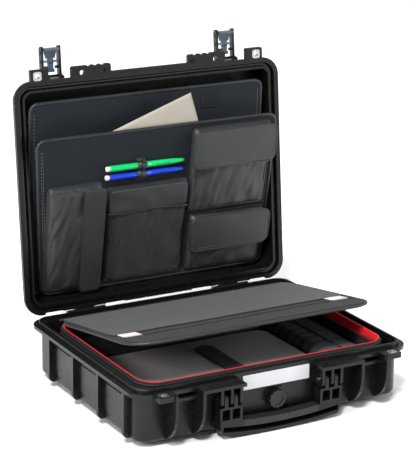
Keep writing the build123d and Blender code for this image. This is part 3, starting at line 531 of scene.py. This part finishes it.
def organiser_front():
    verts, faces = pillow(FRONT_BOX, FRONT_CORNER, lambda x, y, g: panel_back(g, FRONT_FACE),
                          lambda x, y, g: panel_face(x, y, g, FRONT_FACE, FRONT_SEED), (64, 44))
    verts = [(narrowed(x, y), y, z) for x, y, z in verts]
    made("front_panel", verts, faces, FRONT, "organiser_front", "panel_fabric",
         nodes=["organiser_front_panel"])
    rim = outline(FRONT_BOX, FRONT_CORNER)
    edge = [(narrowed(x, y), y, FRONT_FACE + BINDING_BACK) for x, y in rim]
    made("front_panel_piping", *tube(edge, BINDING, True), FRONT, "organiser_front", "piping_fabric")
    for away in FRONT_SEAMS:
        path = []
        for x, y in outline(inset(FRONT_BOX, away), FRONT_CORNER - away):
            z = panel_face(x, y, away, FRONT_FACE, FRONT_SEED) - SUNK
            path.append((narrowed(x, y), y, z))
        line = stitches(path, *PANEL_STITCH)
        made(f"front_panel_stitches_{int(away)}", *line, FRONT, "organiser_front", "piping_fabric",
             "thread")


# ---------------------------------------------------------------- pockets

UPPER_BOX = (60.0, 204.0, -96.0, 50.0)
LOWER_BOX = (66.0, 207.0, 56.0, 157.0)
POUCH_BOX = (-192.0, -98.0, -24.0, 158.0)
MESH_BOX = (-90.0, 56.0, -12.0, 154.0)
POCKET_DEPTH, MESH_DEPTH = 18.0, 13.0
POCKET_CORNER = 8.0
POCKET_SIDE = 14.0              # width over which a deep pocket's side rises
POCKET_THIN = 0.4
POCKET_FULL = 0.66              # share of its depth that a pocket has all over; the rest is its crown
CREASE_SIZE, CREASE_DEPTH = 15.0, 2.6
DENT_SIZE, DENT_DEPTH = 34.0, 2.8
PULL_SIZE, PULL_DEPTH, PULL_FROM = 6.5, 2.0, 0.45   # gathers towards the top and bottom seams
POCKET_PIPING, POCKET_PIPING_RISE = 1.3, 1.0
POCKET_SEAM, POCKET_SEAM_RADIUS = 7.0, 0.9

COVER_GAP = 0.6                 # between a pocket's front and its cover
COVER_THICKNESS = 2.4
COVER_OVERHANG = 4.0            # beyond the pocket's two sides
COVER_CORNER = 14.0
COVER_FACE = FRONT_FACE - POCKET_DEPTH - COVER_GAP
COVER_WRINKLE = (40.0, 1.1)
COVER_PIPING = 1.5
COVER_STITCH = (3.0, 2.2, 0.42)

LONG_WIDTH, LONG_SET_IN = 35.8, 0.2
LONG_CORNER = 8.0
LONG_WRINKLE = (30.0, 0.8)
LONG_SEED = 21.0

MESH_BAND_WIDTH = 42
MESH_BAND_WRINKLE = (22.0, 1.2)
MESH_BAND_SEED = 31.0
MESH_BAND_STEPS = 24


def pocket(name, box, depth, nodes, seed, look=None, folds=1.0):
    """Filled pocket: swollen in the middle, drawn in at its seams, with soft creases."""
    mid_x, mid_y, half_x, half_y = middle(box)

    def front(x, y, gap):
        u, v = (x - mid_x) / half_x, (y - mid_y) / half_y
        side = edge_round(gap, min(depth * 0.9, POCKET_SIDE))
        crown = max(0.0, 1 - u * u) * max(0.0, 1 - abs(v) ** 3)
        swell = POCKET_FULL + (1 - POCKET_FULL) * crown
        creases = wrinkle(x * 1.6 + y * 0.5, y * 0.45, CREASE_SIZE, CREASE_DEPTH * folds, seed)
        creases += wrinkle(x, y, DENT_SIZE, DENT_DEPTH * folds, seed + 5)
        pulls = math.sin((x - y * 0.35) / PULL_SIZE) * max(0.0, abs(v) - PULL_FROM)
        height = depth * side * swell + (creases + PULL_DEPTH * folds * pulls) * side
        return FRONT_FACE - min(depth, max(POCKET_THIN, height))

    shape = pillow(box, POCKET_CORNER, lambda x, y, g: FRONT_FACE - SUNK, front, (56, 56))
    made(name, *shape, FRONT, "organiser_front", "pocket_fabric", look, nodes)
    edge = [(x, y, FRONT_FACE - POCKET_PIPING_RISE) for x, y in outline(box, POCKET_CORNER)]
    piping = tube(edge, POCKET_PIPING, True, 6)
    made(f"{name}_piping", *piping, FRONT, "organiser_front", "piping_fabric")
    rim = outline(inset(box, POCKET_SEAM), POCKET_CORNER, 14)
    seam = tube([(x, y, front(x, y, POCKET_SEAM) - SUNK) for x, y in rim], POCKET_SEAM_RADIUS, True, 6)
    made(f"{name}_seam", *seam, FRONT, "organiser_front", "piping_fabric")


def cover(name, node, body, box, drop, seed):
    """Pocket flap: a stiff sheet with bound edge that lies over the pocket's top."""
    x0, x1, y0, _ = box
    area = (x0 - COVER_OVERHANG, x1 + COVER_OVERHANG, y0, y0 + drop)
    x0, x1 = area[:2]
    mid_x, _, half_x, _ = middle(area)

    def bow(x, y):
        side = abs((x - mid_x) / half_x)
        low = (y - y0) / drop
        return 3.0 * max(0.0, side - 0.8) + 0.9 * (1 - low) ** 3 + wrinkle(x, y, *COVER_WRINKLE, seed)

    def front(x, y, gap):
        return COVER_FACE - COVER_THICKNESS + 1.0 + bow(x, y) - 0.8 * edge_round(gap, 2.5)

    shape = pillow(area, COVER_CORNER, lambda x, y, g: COVER_FACE + bow(x, y), front, (40, 22))
    made(name, *shape, FRONT, body, "pocket_fabric", nodes=[node])
    edge = [(x, y, COVER_FACE - 1.4 + bow(x, y)) for x, y in outline(area, COVER_CORNER)]
    made(f"{name}_piping", *tube(edge, COVER_PIPING, True, 8), FRONT, body, "piping_fabric")
    seam = outline((x0 + 5, x1 - 5, y0 + 4, y0 + drop - 5), COVER_CORNER - 4)
    line = stitches([(x, y, COVER_FACE - 2.3 + bow(x, y)) for x, y in seam], *COVER_STITCH)
    made(f"{name}_stitches", *line, FRONT, body, "piping_fabric", "thread")


def long_cover():
    """Cover of the tall pouch, along its right side."""
    x1 = POUCH_BOX[1] - LONG_SET_IN
    area = (x1 - LONG_WIDTH, x1, POUCH_BOX[2] + 3, POUCH_BOX[3] - 2)

    def bow(x, y):
        across = (x1 - x) / (LONG_WIDTH + LONG_SET_IN) - 0.5
        return 2.6 * across ** 2 + 0.45 * math.sin(y / 31.0) + 0.5 * wrinkle(x, y, *LONG_WRINKLE, LONG_SEED)

    shape = pillow(area, LONG_CORNER, lambda x, y, g: COVER_FACE + bow(x, y),
                   lambda x, y, g: COVER_FACE - 1.4 + bow(x, y) - 0.8 * edge_round(g, 2.5), (20, 50))
    made("pouch_cover", *shape, FRONT, "tall_flap", "pocket_fabric", nodes=["tall_pouch_flap"])
    edge = [(x, y, COVER_FACE - 0.7 + bow(x, y)) for x, y in outline(area, LONG_CORNER)]
    made("pouch_cover_piping", *tube(edge, POCKET_PIPING, True, 6), FRONT, "tall_flap", "piping_fabric")


def mesh_band():
    """Plain fabric band across the mesh pocket's top, with a bound lower edge."""
    x0, x1, y0, _ = MESH_BOX
    face = FRONT_FACE - MESH_DEPTH
    area = (x0 + 3, x1 - 3, y0 + 2, y0 + MESH_BAND_WIDTH)

    def front(x, y, gap):
        return face + 1.2 - 1.0 * edge_round(gap, 3.0) + wrinkle(x, y, *MESH_BAND_WRINKLE, MESH_BAND_SEED)

    shape = pillow(area, 6.0, lambda x, y, g: face + 3.5, front, (34, 14))
    made("mesh_band", *shape, FRONT, "organiser_front", "pocket_fabric")
    line = []
    for k in range(MESH_BAND_STEPS + 1):
        x = x0 + 2 + (x1 - x0 - 4) * k / MESH_BAND_STEPS
        line.append((x, y0 + MESH_BAND_WIDTH + 1.4 * math.sin(k / 3.0), face + 0.4))
    piping = tube(line, COVER_PIPING, False, 6)
    made("mesh_band_piping", *piping, FRONT, "organiser_front", "piping_fabric")


# ---------------------------------------------------------------- pens, loop and paper

PEN_DEPTH = 5.6                 # from the panel's face to the pen's line
PEN_START, PEN_LENGTH, PEN_RADIUS = -95.0, 140.0, 5.0
PEN_Y = (-46.5, -31.5)
PEN_CAP = PEN_LENGTH * 0.58     # where the cap begins
PEN_PLUG = [(0.0, 3.0), (0.4, 3.8), (1.0, 4.1), (6.4, 4.1)]
PEN_BARREL = [(6.0, 4.2), (6.6, 4.9), (8.0, PEN_RADIUS), (PEN_CAP - 2.0, PEN_RADIUS),
              (PEN_CAP - 1.2, 4.6), (PEN_CAP - 0.4, 4.2)]
PEN_HOOD = [(PEN_CAP, 4.3), (PEN_CAP + 0.6, 4.7), (PEN_CAP + 3.0, 4.8), (PEN_LENGTH - 24, 4.4),
            (PEN_LENGTH - 22, 4.4), (PEN_LENGTH - 12, 3.7), (PEN_LENGTH - 4, 2.9),
            (PEN_LENGTH - 1, 2.2), (PEN_LENGTH, 1.2)]
CLIP_RADIUS = 0.7

LOOP_X = (-40.5, -24.5)         # the elastic band's two edges
LOOP_FLAT = 1.3                 # height where it is sewn down
LOOP_CLEAR = 0.7                # from a pen to the band over it
LOOP_THICKNESS = 0.5
LOOP_REACH = 11.0               # how far it goes on past the pens
LOOP_HALF = 7.4                 # half the width of its hoop over a pen
LOOP_STEPS = 66

PAPER_WIDTH, PAPER_HEIGHT, PAPER_THICKNESS = 144, 200, 0.4
PAPER_CORNER, PAPER_TILT = (52, -157, 0), -20.5
PAPER_CLEAR = 0.4               # behind the pocket panel
PAPER_CURL = 0.4


def pen(name, node, body, y, slot):
    """Felt pen: pale end plug, barrel, and a cap that tapers to a blunt nose."""
    z = FRONT_FACE - PEN_DEPTH
    start = (PEN_START, y, z)
    shape = merged(lathe(PEN_BARREL, start), lathe(PEN_HOOD, start))
    made(name, *shape, FRONT, body, slot, nodes=[node])
    made(f"{name}_plug", *lathe(PEN_PLUG, start), FRONT, body, slot, "pen_end")
    x = PEN_START + PEN_CAP
    clip = tube([(x + 6, y - 1.5, z - 4.9), (x + 30, y - 1.5, z - 5.0)], CLIP_RADIUS, sides=6)
    made(f"{name}_clip", *clip, FRONT, body, slot)


def pen_loop():
    """Elastic band sewn down between and beside the pens."""
    flat = FRONT_FACE - LOOP_FLAT
    top = FRONT_FACE - PEN_DEPTH - PEN_RADIUS - LOOP_CLEAR
    first, last = PEN_Y[0] - LOOP_REACH, PEN_Y[1] + LOOP_REACH
    line = []
    for k in range(LOOP_STEPS + 1):
        y = first + (last - first) * k / LOOP_STEPS
        away = min(abs(y - centre) for centre in PEN_Y) / LOOP_HALF
        hoop = max(0.0, 1 - away ** 2.6) ** 0.5 if away < 1 else 0.0
        line.append((y, flat + (top - flat) * hoop))
    verts, faces = [], []
    for x in LOOP_X:
        for depth in (0.0, LOOP_THICKNESS):
            verts += [(x, y, z - depth) for y, z in line]
    n = len(line)
    for k in range(n - 1):
        for a, b in ((0, n), (2 * n, 3 * n), (0, 2 * n), (n, 3 * n)):
            faces.append((a + k, a + k + 1, b + k + 1, b + k))
    faces += [(0, n, 3 * n, 2 * n), (n - 1, 2 * n - 1, 4 * n - 1, 3 * n - 1)]
    made("pen_band", verts, faces, FRONT, "organiser_front", "piping_fabric", nodes=["pen_loop"])


def document():
    """Sheet of plain paper, tilted, with a slight curl."""
    turn = Matrix.Translation(PAPER_CORNER) @ Matrix.Rotation(math.radians(PAPER_TILT), 4, "Z")
    across, down = 24, 30
    z0 = FRONT_FACE + PANEL_THICKNESS + PAPER_CLEAR
    verts = []
    for side in (0.0, PAPER_THICKNESS):
        for j in range(down + 1):
            for i in range(across + 1):
                x, y = -PAPER_WIDTH * i / across, PAPER_HEIGHT * j / down
                curl = PAPER_CURL * math.sin(math.pi * i / across) * (1 - j / down)
                verts.append(turn @ Vector((x, y, z0 + side + curl)))
    made("paper_sheet", verts, shell_faces(across + 1, down + 1), FRONT, "organiser_front",
         "paper_plain", nodes=["document_sheet"])


# ---------------------------------------------------------------- bag in the base

BAG_BOX, BAG_CORNER = (-212.0, 212.0, -163.0, 142.0), 34.0
# both profiles are (how far in from the bag's outside, height)
BAG_PROFILE = [(5.0, 12.2), (1.2, 14.0), (0.0, 19.0), (0.2, 50.0), (0.0, 80.0), (0.6, 91.6),
               (1.4, 93.8), (2.6, 94.5), (4.2, 93.8), (5.6, 91.4), (6.0, 79.0), (6.0, 18.0),
               (8.0, 16.0)]
LINING_PROFILE = [(5.7, 79.5), (5.2, 88.0), (4.0, 93.4), (3.0, 94.6), (4.6, 94.9), (6.2, 93.6),
                  (7.0, 88.0), (7.4, 79.5)]
BAG_ZIP_IN, BAG_ZIP_HEIGHT, BAG_ZIP_RADIUS = 0.6, 90.5, 1.5
BAG_SEAMS, BAG_SEAM_RADIUS = (84.0, 26.0), 0.7

PAD_FLOOR, PAD_TOP = 16.0, 61.0
PAD_BOX = (-203.0, 121.5, -154.5, 60.0)
REAR_BOX, REAR_TOP = (-203.0, 121.5, 64.5, 133.5), 69.0
CHARGER_BOX, CHARGER_TOP = (126.5, 202.5, -152.0, 109.5), 71.0
PAD_WRINKLE = (45.0, 0.9)
PAD_ROUND = 8.0
CHARGER_ROUND = 12.0
CUSHION_PIPING = 1.0

STRAP_BOX, STRAP_CORNER = (-32.0, 0.0, -153.0, 20.0), 14.0
STRAP_SEAM = 4.0
STRAP_WRINKLE = (30.0, 0.5)
STRAP_SEED = 9.0
STRAP_STITCH = (2.2, 1.8, 0.25)

ZIP_X, ZIP_TOP = 162.0, 71.8
TOOTH_HALF, TOOTH_RADIUS = 1.8, 0.55
TEETH = range(-142, 98, 2)      # where the zip's teeth are along Y
SLIDER_BOX, SLIDER_FLOOR, SLIDER_TOP = (158.6, 165.4, -141.0, -129.0), 72.9, 73.4
PULL_LINE = [(ZIP_X, -141.0, 74.4), (ZIP_X, -148.0, 73.6), (ZIP_X, -151.5, 73.4)]
PULL_RADIUS = 0.9


def bag_ring(by, z):
    """Points round the bag at a height, set in from its outside."""
    return [(x, y, z) for x, y in outline(inset(BAG_BOX, by), BAG_CORNER - by, 12)]


def lofted(rings, closed=False):
    """Skin over rings of points. A closed one joins its last ring to the first; others get caps."""
    verts = [p for ring in rings for p in ring]
    n = len(rings[0])
    last = len(rings) - 1
    pairs = [(a, a + 1) for a in range(last)]
    if closed:
        pairs.append((last, 0))
    faces = []
    for a, b in pairs:
        for k in range(n):
            t = (k + 1) % n
            faces.append((a * n + k, a * n + t, b * n + t, b * n + k))
    if not closed:
        faces.append(tuple(range(n)))
        faces.append(tuple(range(last * n, (last + 1) * n)))
    return verts, faces


def bag():
    """Outer bag with its red lining, zip and seams."""
    rings = [bag_ring(by, z) for by, z in BAG_PROFILE]
    made("bag_shell", *lofted(rings), FIXED, "base", "bag_fabric", nodes=["bag_body"])
    rings = [bag_ring(by, z) for by, z in LINING_PROFILE]
    made("bag_red_lining", *lofted(rings, closed=True), FIXED, "base", "lining_red", nodes=["bag_lining"])
    line = tube(bag_ring(BAG_ZIP_IN, BAG_ZIP_HEIGHT), BAG_ZIP_RADIUS, True, 8)
    made("bag_zip", *line, FIXED, "base", "zip_black", nodes=["bag_zip_tape"])
    for z in BAG_SEAMS:
        seam = tube(bag_ring(-0.1, z), BAG_SEAM_RADIUS, True, 6)
        made(f"bag_seam_{int(z)}", *seam, FIXED, "base", "piping_fabric")


def cushion(name, box, radius, top, crown, slot, nodes, seed, round_edge=PAD_ROUND):
    """Padded block: full in the middle, with its edges rounded and a piping round it."""
    mid_x, mid_y, half_x, half_y = middle(box)

    def upper(x, y, gap):
        u, v = (x - mid_x) / half_x, (y - mid_y) / half_y
        lift = crown * max(0.0, 1 - u ** 2) * max(0.0, 1 - v ** 2)
        drop = round_edge * (1 - edge_round(gap, round_edge))
        return top - crown + lift - drop + wrinkle(x, y, *PAD_WRINKLE, seed) * edge_round(gap, 10.0)

    shape = pillow(box, radius, lambda x, y, g: PAD_FLOOR, upper, (40, 40))
    thing = made(name, *shape, FIXED, "base", slot, None, nodes)
    edge = [(x, y, top - crown - round_edge + 1.0) for x, y in outline(box, radius)]
    made(f"{name}_piping", *tube(edge, CUSHION_PIPING, True, 6), FIXED, "base", "piping_fabric")


def bag_contents():
    """Laptop pad and its strap, rear compartment, charger pouch and the pouch's zip."""
    cushion("pad", PAD_BOX, 22.0, PAD_TOP, 2.5, "pad_grey", ["laptop_pad"], 1.0)
    cushion("rear_pocket", REAR_BOX, 12.0, REAR_TOP, 3.0, "bag_fabric", ["back_compartment"], 2.0)
    cushion("charger_pouch", CHARGER_BOX, 14.0, CHARGER_TOP, 4.0, "pouch_grey", ["cable_pouch"], 6.0,
            CHARGER_ROUND)

    def strap_face(x, y, gap):
        return PAD_TOP + 1.4 + 1.2 * edge_round(gap, 2.0) + wrinkle(x, y, *STRAP_WRINKLE, STRAP_SEED)

    strap = pillow(STRAP_BOX, STRAP_CORNER, lambda x, y, g: PAD_TOP + 0.3, strap_face, (16, 40))
    made("hold_down_strap", *strap, FIXED, "base", "strap_black", nodes=["pad_strap"])
    seam = outline(inset(STRAP_BOX, STRAP_SEAM), STRAP_CORNER - STRAP_SEAM)
    line = stitches([(x, y, PAD_TOP + 2.7) for x, y in seam], *STRAP_STITCH)
    made("strap_stitches", *line, FIXED, "base", "piping_fabric", "thread")
    teeth = []
    for y in TEETH:
        ends = [(ZIP_X - TOOTH_HALF, y, ZIP_TOP), (ZIP_X + TOOTH_HALF, y, ZIP_TOP)]
        teeth.append(tube(ends, TOOTH_RADIUS, sides=6))
    made("pouch_zip_teeth", *merged(*teeth), FIXED, "base", "zip_black", nodes=["pouch_zip"])


def slider():
    """Zip slider with its pull, which runs along the charger pouch's zip."""
    body = pillow(SLIDER_BOX, 2.0, lambda x, y, g: SLIDER_FLOOR,
                  lambda x, y, g: SLIDER_TOP + 1.6 * edge_round(g, 2.0), (12, 14))
    pull = tube(PULL_LINE, PULL_RADIUS, sides=8)
    made("slider", *merged(body, pull), FIXED, "pouch_slider", "slider_metal", nodes=["zip_slider"])


# ---------------------------------------------------------------- bag flap

FLAP_X, FLAP_Y0, FLAP_Y1, FLAP_CORNER = 210.0, -132.0, 136.0, 42.0
FLAP_BOX = (-FLAP_X, FLAP_X, FLAP_Y0, FLAP_Y1)
FLAP_LOW, FLAP_HIGH = 95.3, 99.3
FLAP_MIDDLE = (FLAP_LOW + FLAP_HIGH) / 2
NET_BOX, NET_CORNER, NET_RISE = (-FLAP_X + 6, FLAP_X - 6, -46.0, 130.0), 9.0, 1.2
BAND_BOX, BAND_CORNER, BAND_RISE = (-FLAP_X + 5, FLAP_X - 5, -127.0, -75.0), 25.0, 0.9
LAYER_SUNK = 0.3                # how far the net and the band sit into the cover
CROSS_SEAMS = (-47.5, -73.0)    # where the two seams across the cover lie along Y
FLAP_PIPING, CROSS_SEAM_RADIUS = 2.2, 1.0
FLAP_SEAM = 9
FLAP_STITCH = (2.6, 2.2, 0.25)
TAG_X, TAG_WIDTH, TAG_Y = (-196.0, 166.0), 30, (-74.0, -48.0)
TAG_RISE = 1.5
HEM_RADIUS = 2.0                # bound rear edge


def flap_wave(x, y):
    """Ripple of the stiff cover; it only rises, so the shut cover clears the bag's rim."""
    away = (FLAP_Y1 - y) / (FLAP_Y1 - FLAP_Y0)
    return away * (0.8 * (1 + math.sin(x / 68.0)) + abs(wrinkle(x, y, 80.0, 1.6, 14.0)))


def flap_surface(name, box, radius, low, high, count, slot, node, edge=1.5):
    """Layer of the cover between two heights, following its ripple."""
    shape = pillow(box, radius, lambda x, y, g: low + flap_wave(x, y) + 0.5 * (1 - edge_round(g, edge)),
                   lambda x, y, g: high + flap_wave(x, y) - 0.5 * (1 - edge_round(g, edge)), count)
    return made(name, *shape, FLAP, "flap", slot, None, [node])


def bag_cover():
    """The bag's padded flap with its net, front band, seams and two blank tags."""
    thing = flap_surface("cover", FLAP_BOX, FLAP_CORNER, FLAP_LOW, FLAP_HIGH, (60, 50), "flap_grey",
                         "bag_flap", edge=3.0)
    edge = [(x, y, FLAP_MIDDLE + flap_wave(x, y)) for x, y in outline(FLAP_BOX, FLAP_CORNER)]
    made("cover_piping", *tube(edge, FLAP_PIPING, True, 8), FLAP, "flap", "piping_fabric")
    floor = FLAP_HIGH - LAYER_SUNK
    flap_surface("cover_net", NET_BOX, NET_CORNER, floor, FLAP_HIGH + NET_RISE, (50, 40), "mesh_grey",
                 "flap_mesh")
    flap_surface("cover_band", BAND_BOX, BAND_CORNER, floor, FLAP_HIGH + BAND_RISE, (50, 16),
                 "flap_grey", "flap_front_band")
    for y in CROSS_SEAMS:
        line = [(x, y, FLAP_HIGH + 1.0 + flap_wave(x, y)) for x in range(-203, 204, 7)]
        seam = tube(line, CROSS_SEAM_RADIUS, False, 6)
        made(f"cover_seam_{int(-y)}", *seam, FLAP, "flap", "piping_fabric")
    rim = (-FLAP_X + FLAP_SEAM, FLAP_X - FLAP_SEAM, FLAP_Y0 + FLAP_SEAM, FLAP_Y1 - 8)
    path = [(x, y, FLAP_HIGH + 1.1 + flap_wave(x, y)) for x, y in outline(rim, FLAP_CORNER - FLAP_SEAM)]
    line = stitches(path, *FLAP_STITCH)
    made("cover_stitches", *line, FLAP, "flap", "piping_fabric", "thread")
    tags = []
    for x0 in TAG_X:
        tags.append(pillow((x0, x0 + TAG_WIDTH, *TAG_Y), 1.0,
                           lambda x, y, g: FLAP_HIGH + BAND_RISE + flap_wave(x, y),
                           lambda x, y, g: FLAP_HIGH + TAG_RISE + flap_wave(x, y), (8, 8)))
    made("cover_tags", *merged(*tags), FLAP, "flap", "tag_white", nodes=["flap_tags"])


def cover_binding():
    """Bound rear edge that the cover folds on."""
    y, z = FLAP_HINGE
    line = [(x, y - 0.2, z) for x in range(-202, 203, 4)]
    made("cover_binding", *tube(line, HEM_RADIUS, False, 12), FLAP, "flap", "piping_fabric",
         nodes=["flap_binding"])


# ---------------------------------------------------------------- stage, light and camera

FLOOR_COLOUR, FLOOR_ROUGH = (0.93, 0.93, 0.93, 1.0), 0.9
FLOOR_REACH, FLOOR_DROP = 30.0, 0.0005      # in metres, as all of this section
WORLD_LIGHT = 0.42
SUN_TURN, SUN_POWER, SUN_SPREAD = (40, 0, -42), 2.9, 9.0
LAMPS = (                       # name, place, what it points at, size, power
    ("strip_left", (-2.6, -1.0, 1.5), (0, 0, 0.2), 0.7, 42),
    ("strip_right", (2.4, -1.6, 1.0), (0, 0, 0.2), 0.6, 26),
    ("strip_top", (0.2, 1.4, 2.2), (0, 0, 0.3), 0.7, 34),
)
CAMERA_AZIMUTH, CAMERA_ELEVATION, CAMERA_ROLL = -29.56, 16.95, 0.79
CAMERA_DISTANCE = 3.04665
CAMERA_TARGET = (-0.00848, 0.01693, 0.24991)
CAMERA_LENS, CAMERA_SENSOR = 155.0, 36.0
CAMERA_CLIP = (0.1, 100.0)


def stage():
    n = Nodes("stage_floor")
    n.set(Base_Color=FLOOR_COLOUR)
    n.shader.inputs["Roughness"].default_value = FLOOR_ROUGH
    mesh = bpy.data.meshes.new("stage_floor")
    reach = FLOOR_REACH
    mesh.from_pydata([(-reach, -reach, 0), (reach, -reach, 0), (reach, reach, 0), (-reach, reach, 0)],
                     [], [(0, 1, 2, 3)])
    mesh.materials.append(n.material)
    floor = bpy.data.objects.new("stage_floor", mesh)
    floor.location.z = -FLOOR_DROP
    bpy.context.collection.objects.link(floor)


def world():
    scene_world = bpy.data.worlds.new("studio")
    bpy.context.scene.world = scene_world
    scene_world.use_nodes = True
    background = scene_world.node_tree.nodes["Background"]
    background.inputs["Color"].default_value = (1, 1, 1, 1)
    background.inputs["Strength"].default_value = WORLD_LIGHT


def sun(name, turn, power, spread):
    light = bpy.data.lights.new(name, "SUN")
    light.energy = power
    light.angle = math.radians(spread)
    thing = bpy.data.objects.new(name, light)
    thing.rotation_euler = Euler([math.radians(v) for v in turn])
    bpy.context.collection.objects.link(thing)


def lamp(name, place, aim, size, power):
    light = bpy.data.lights.new(name, "AREA")
    light.size = size
    light.energy = power
    thing = bpy.data.objects.new(name, light)
    thing.location = place
    thing.rotation_euler = (Vector(aim) - Vector(place)).to_track_quat("-Z", "Y").to_euler()
    bpy.context.collection.objects.link(thing)


def camera():
    """Camera where the photograph was taken from."""
    a, e, r = (math.radians(v) for v in (CAMERA_AZIMUTH, CAMERA_ELEVATION, CAMERA_ROLL))
    back = Vector((math.sin(a) * math.cos(e), -math.cos(a) * math.cos(e), math.sin(e)))
    right = Vector((math.cos(a), math.sin(a), 0))
    up = right.cross(-back)
    side = math.cos(r) * right + math.sin(r) * up
    top = -math.sin(r) * right + math.cos(r) * up
    data = bpy.data.cameras.new("photo_camera")
    data.sensor_width = CAMERA_SENSOR
    data.lens = CAMERA_LENS
    data.clip_start, data.clip_end = CAMERA_CLIP
    thing = bpy.data.objects.new("photo_camera", data)
    place = Vector(CAMERA_TARGET) + back * CAMERA_DISTANCE
    turn = Matrix((side, top, back)).transposed()
    thing.matrix_world = Matrix.Translation(place) @ turn.to_4x4()
    bpy.context.collection.objects.link(thing)
    bpy.context.scene.camera = thing


# ---------------------------------------------------------------- build

organiser_back()
patch()
organiser_front()
pocket("upper_pocket_bag", UPPER_BOX, POCKET_DEPTH, ["upper_pocket"], 41.0)
pocket("lower_pocket_bag", LOWER_BOX, POCKET_DEPTH, ["lower_pocket"], 47.0)
pocket("tall_pouch_bag", POUCH_BOX, POCKET_DEPTH, ["tall_pouch"], 53.0)
pocket("net_pocket", MESH_BOX, MESH_DEPTH, ["mesh_pocket"], 59.0, "pocket_mesh", folds=0.8)
mesh_band()
cover("upper_cover", "upper_pocket_flap", "upper_flap", UPPER_BOX, 64.0, 61.0)
cover("lower_cover", "lower_pocket_flap", "lower_flap", LOWER_BOX, 60.0, 67.0)
long_cover()
pen("green_pen", "pen_green", "green_pen", PEN_Y[0], "pen_green_plastic")
pen("blue_pen", "pen_blue", "blue_pen", PEN_Y[1], "pen_blue_plastic")
pen_loop()
document()
bag()
bag_contents()
slider()
bag_cover()
cover_binding()

stage()
world()
sun("key", SUN_TURN, SUN_POWER, SUN_SPREAD)
for strip in LAMPS:
    lamp(*strip)
camera()
bpy.context.scene.view_settings.view_transform = "Standard"
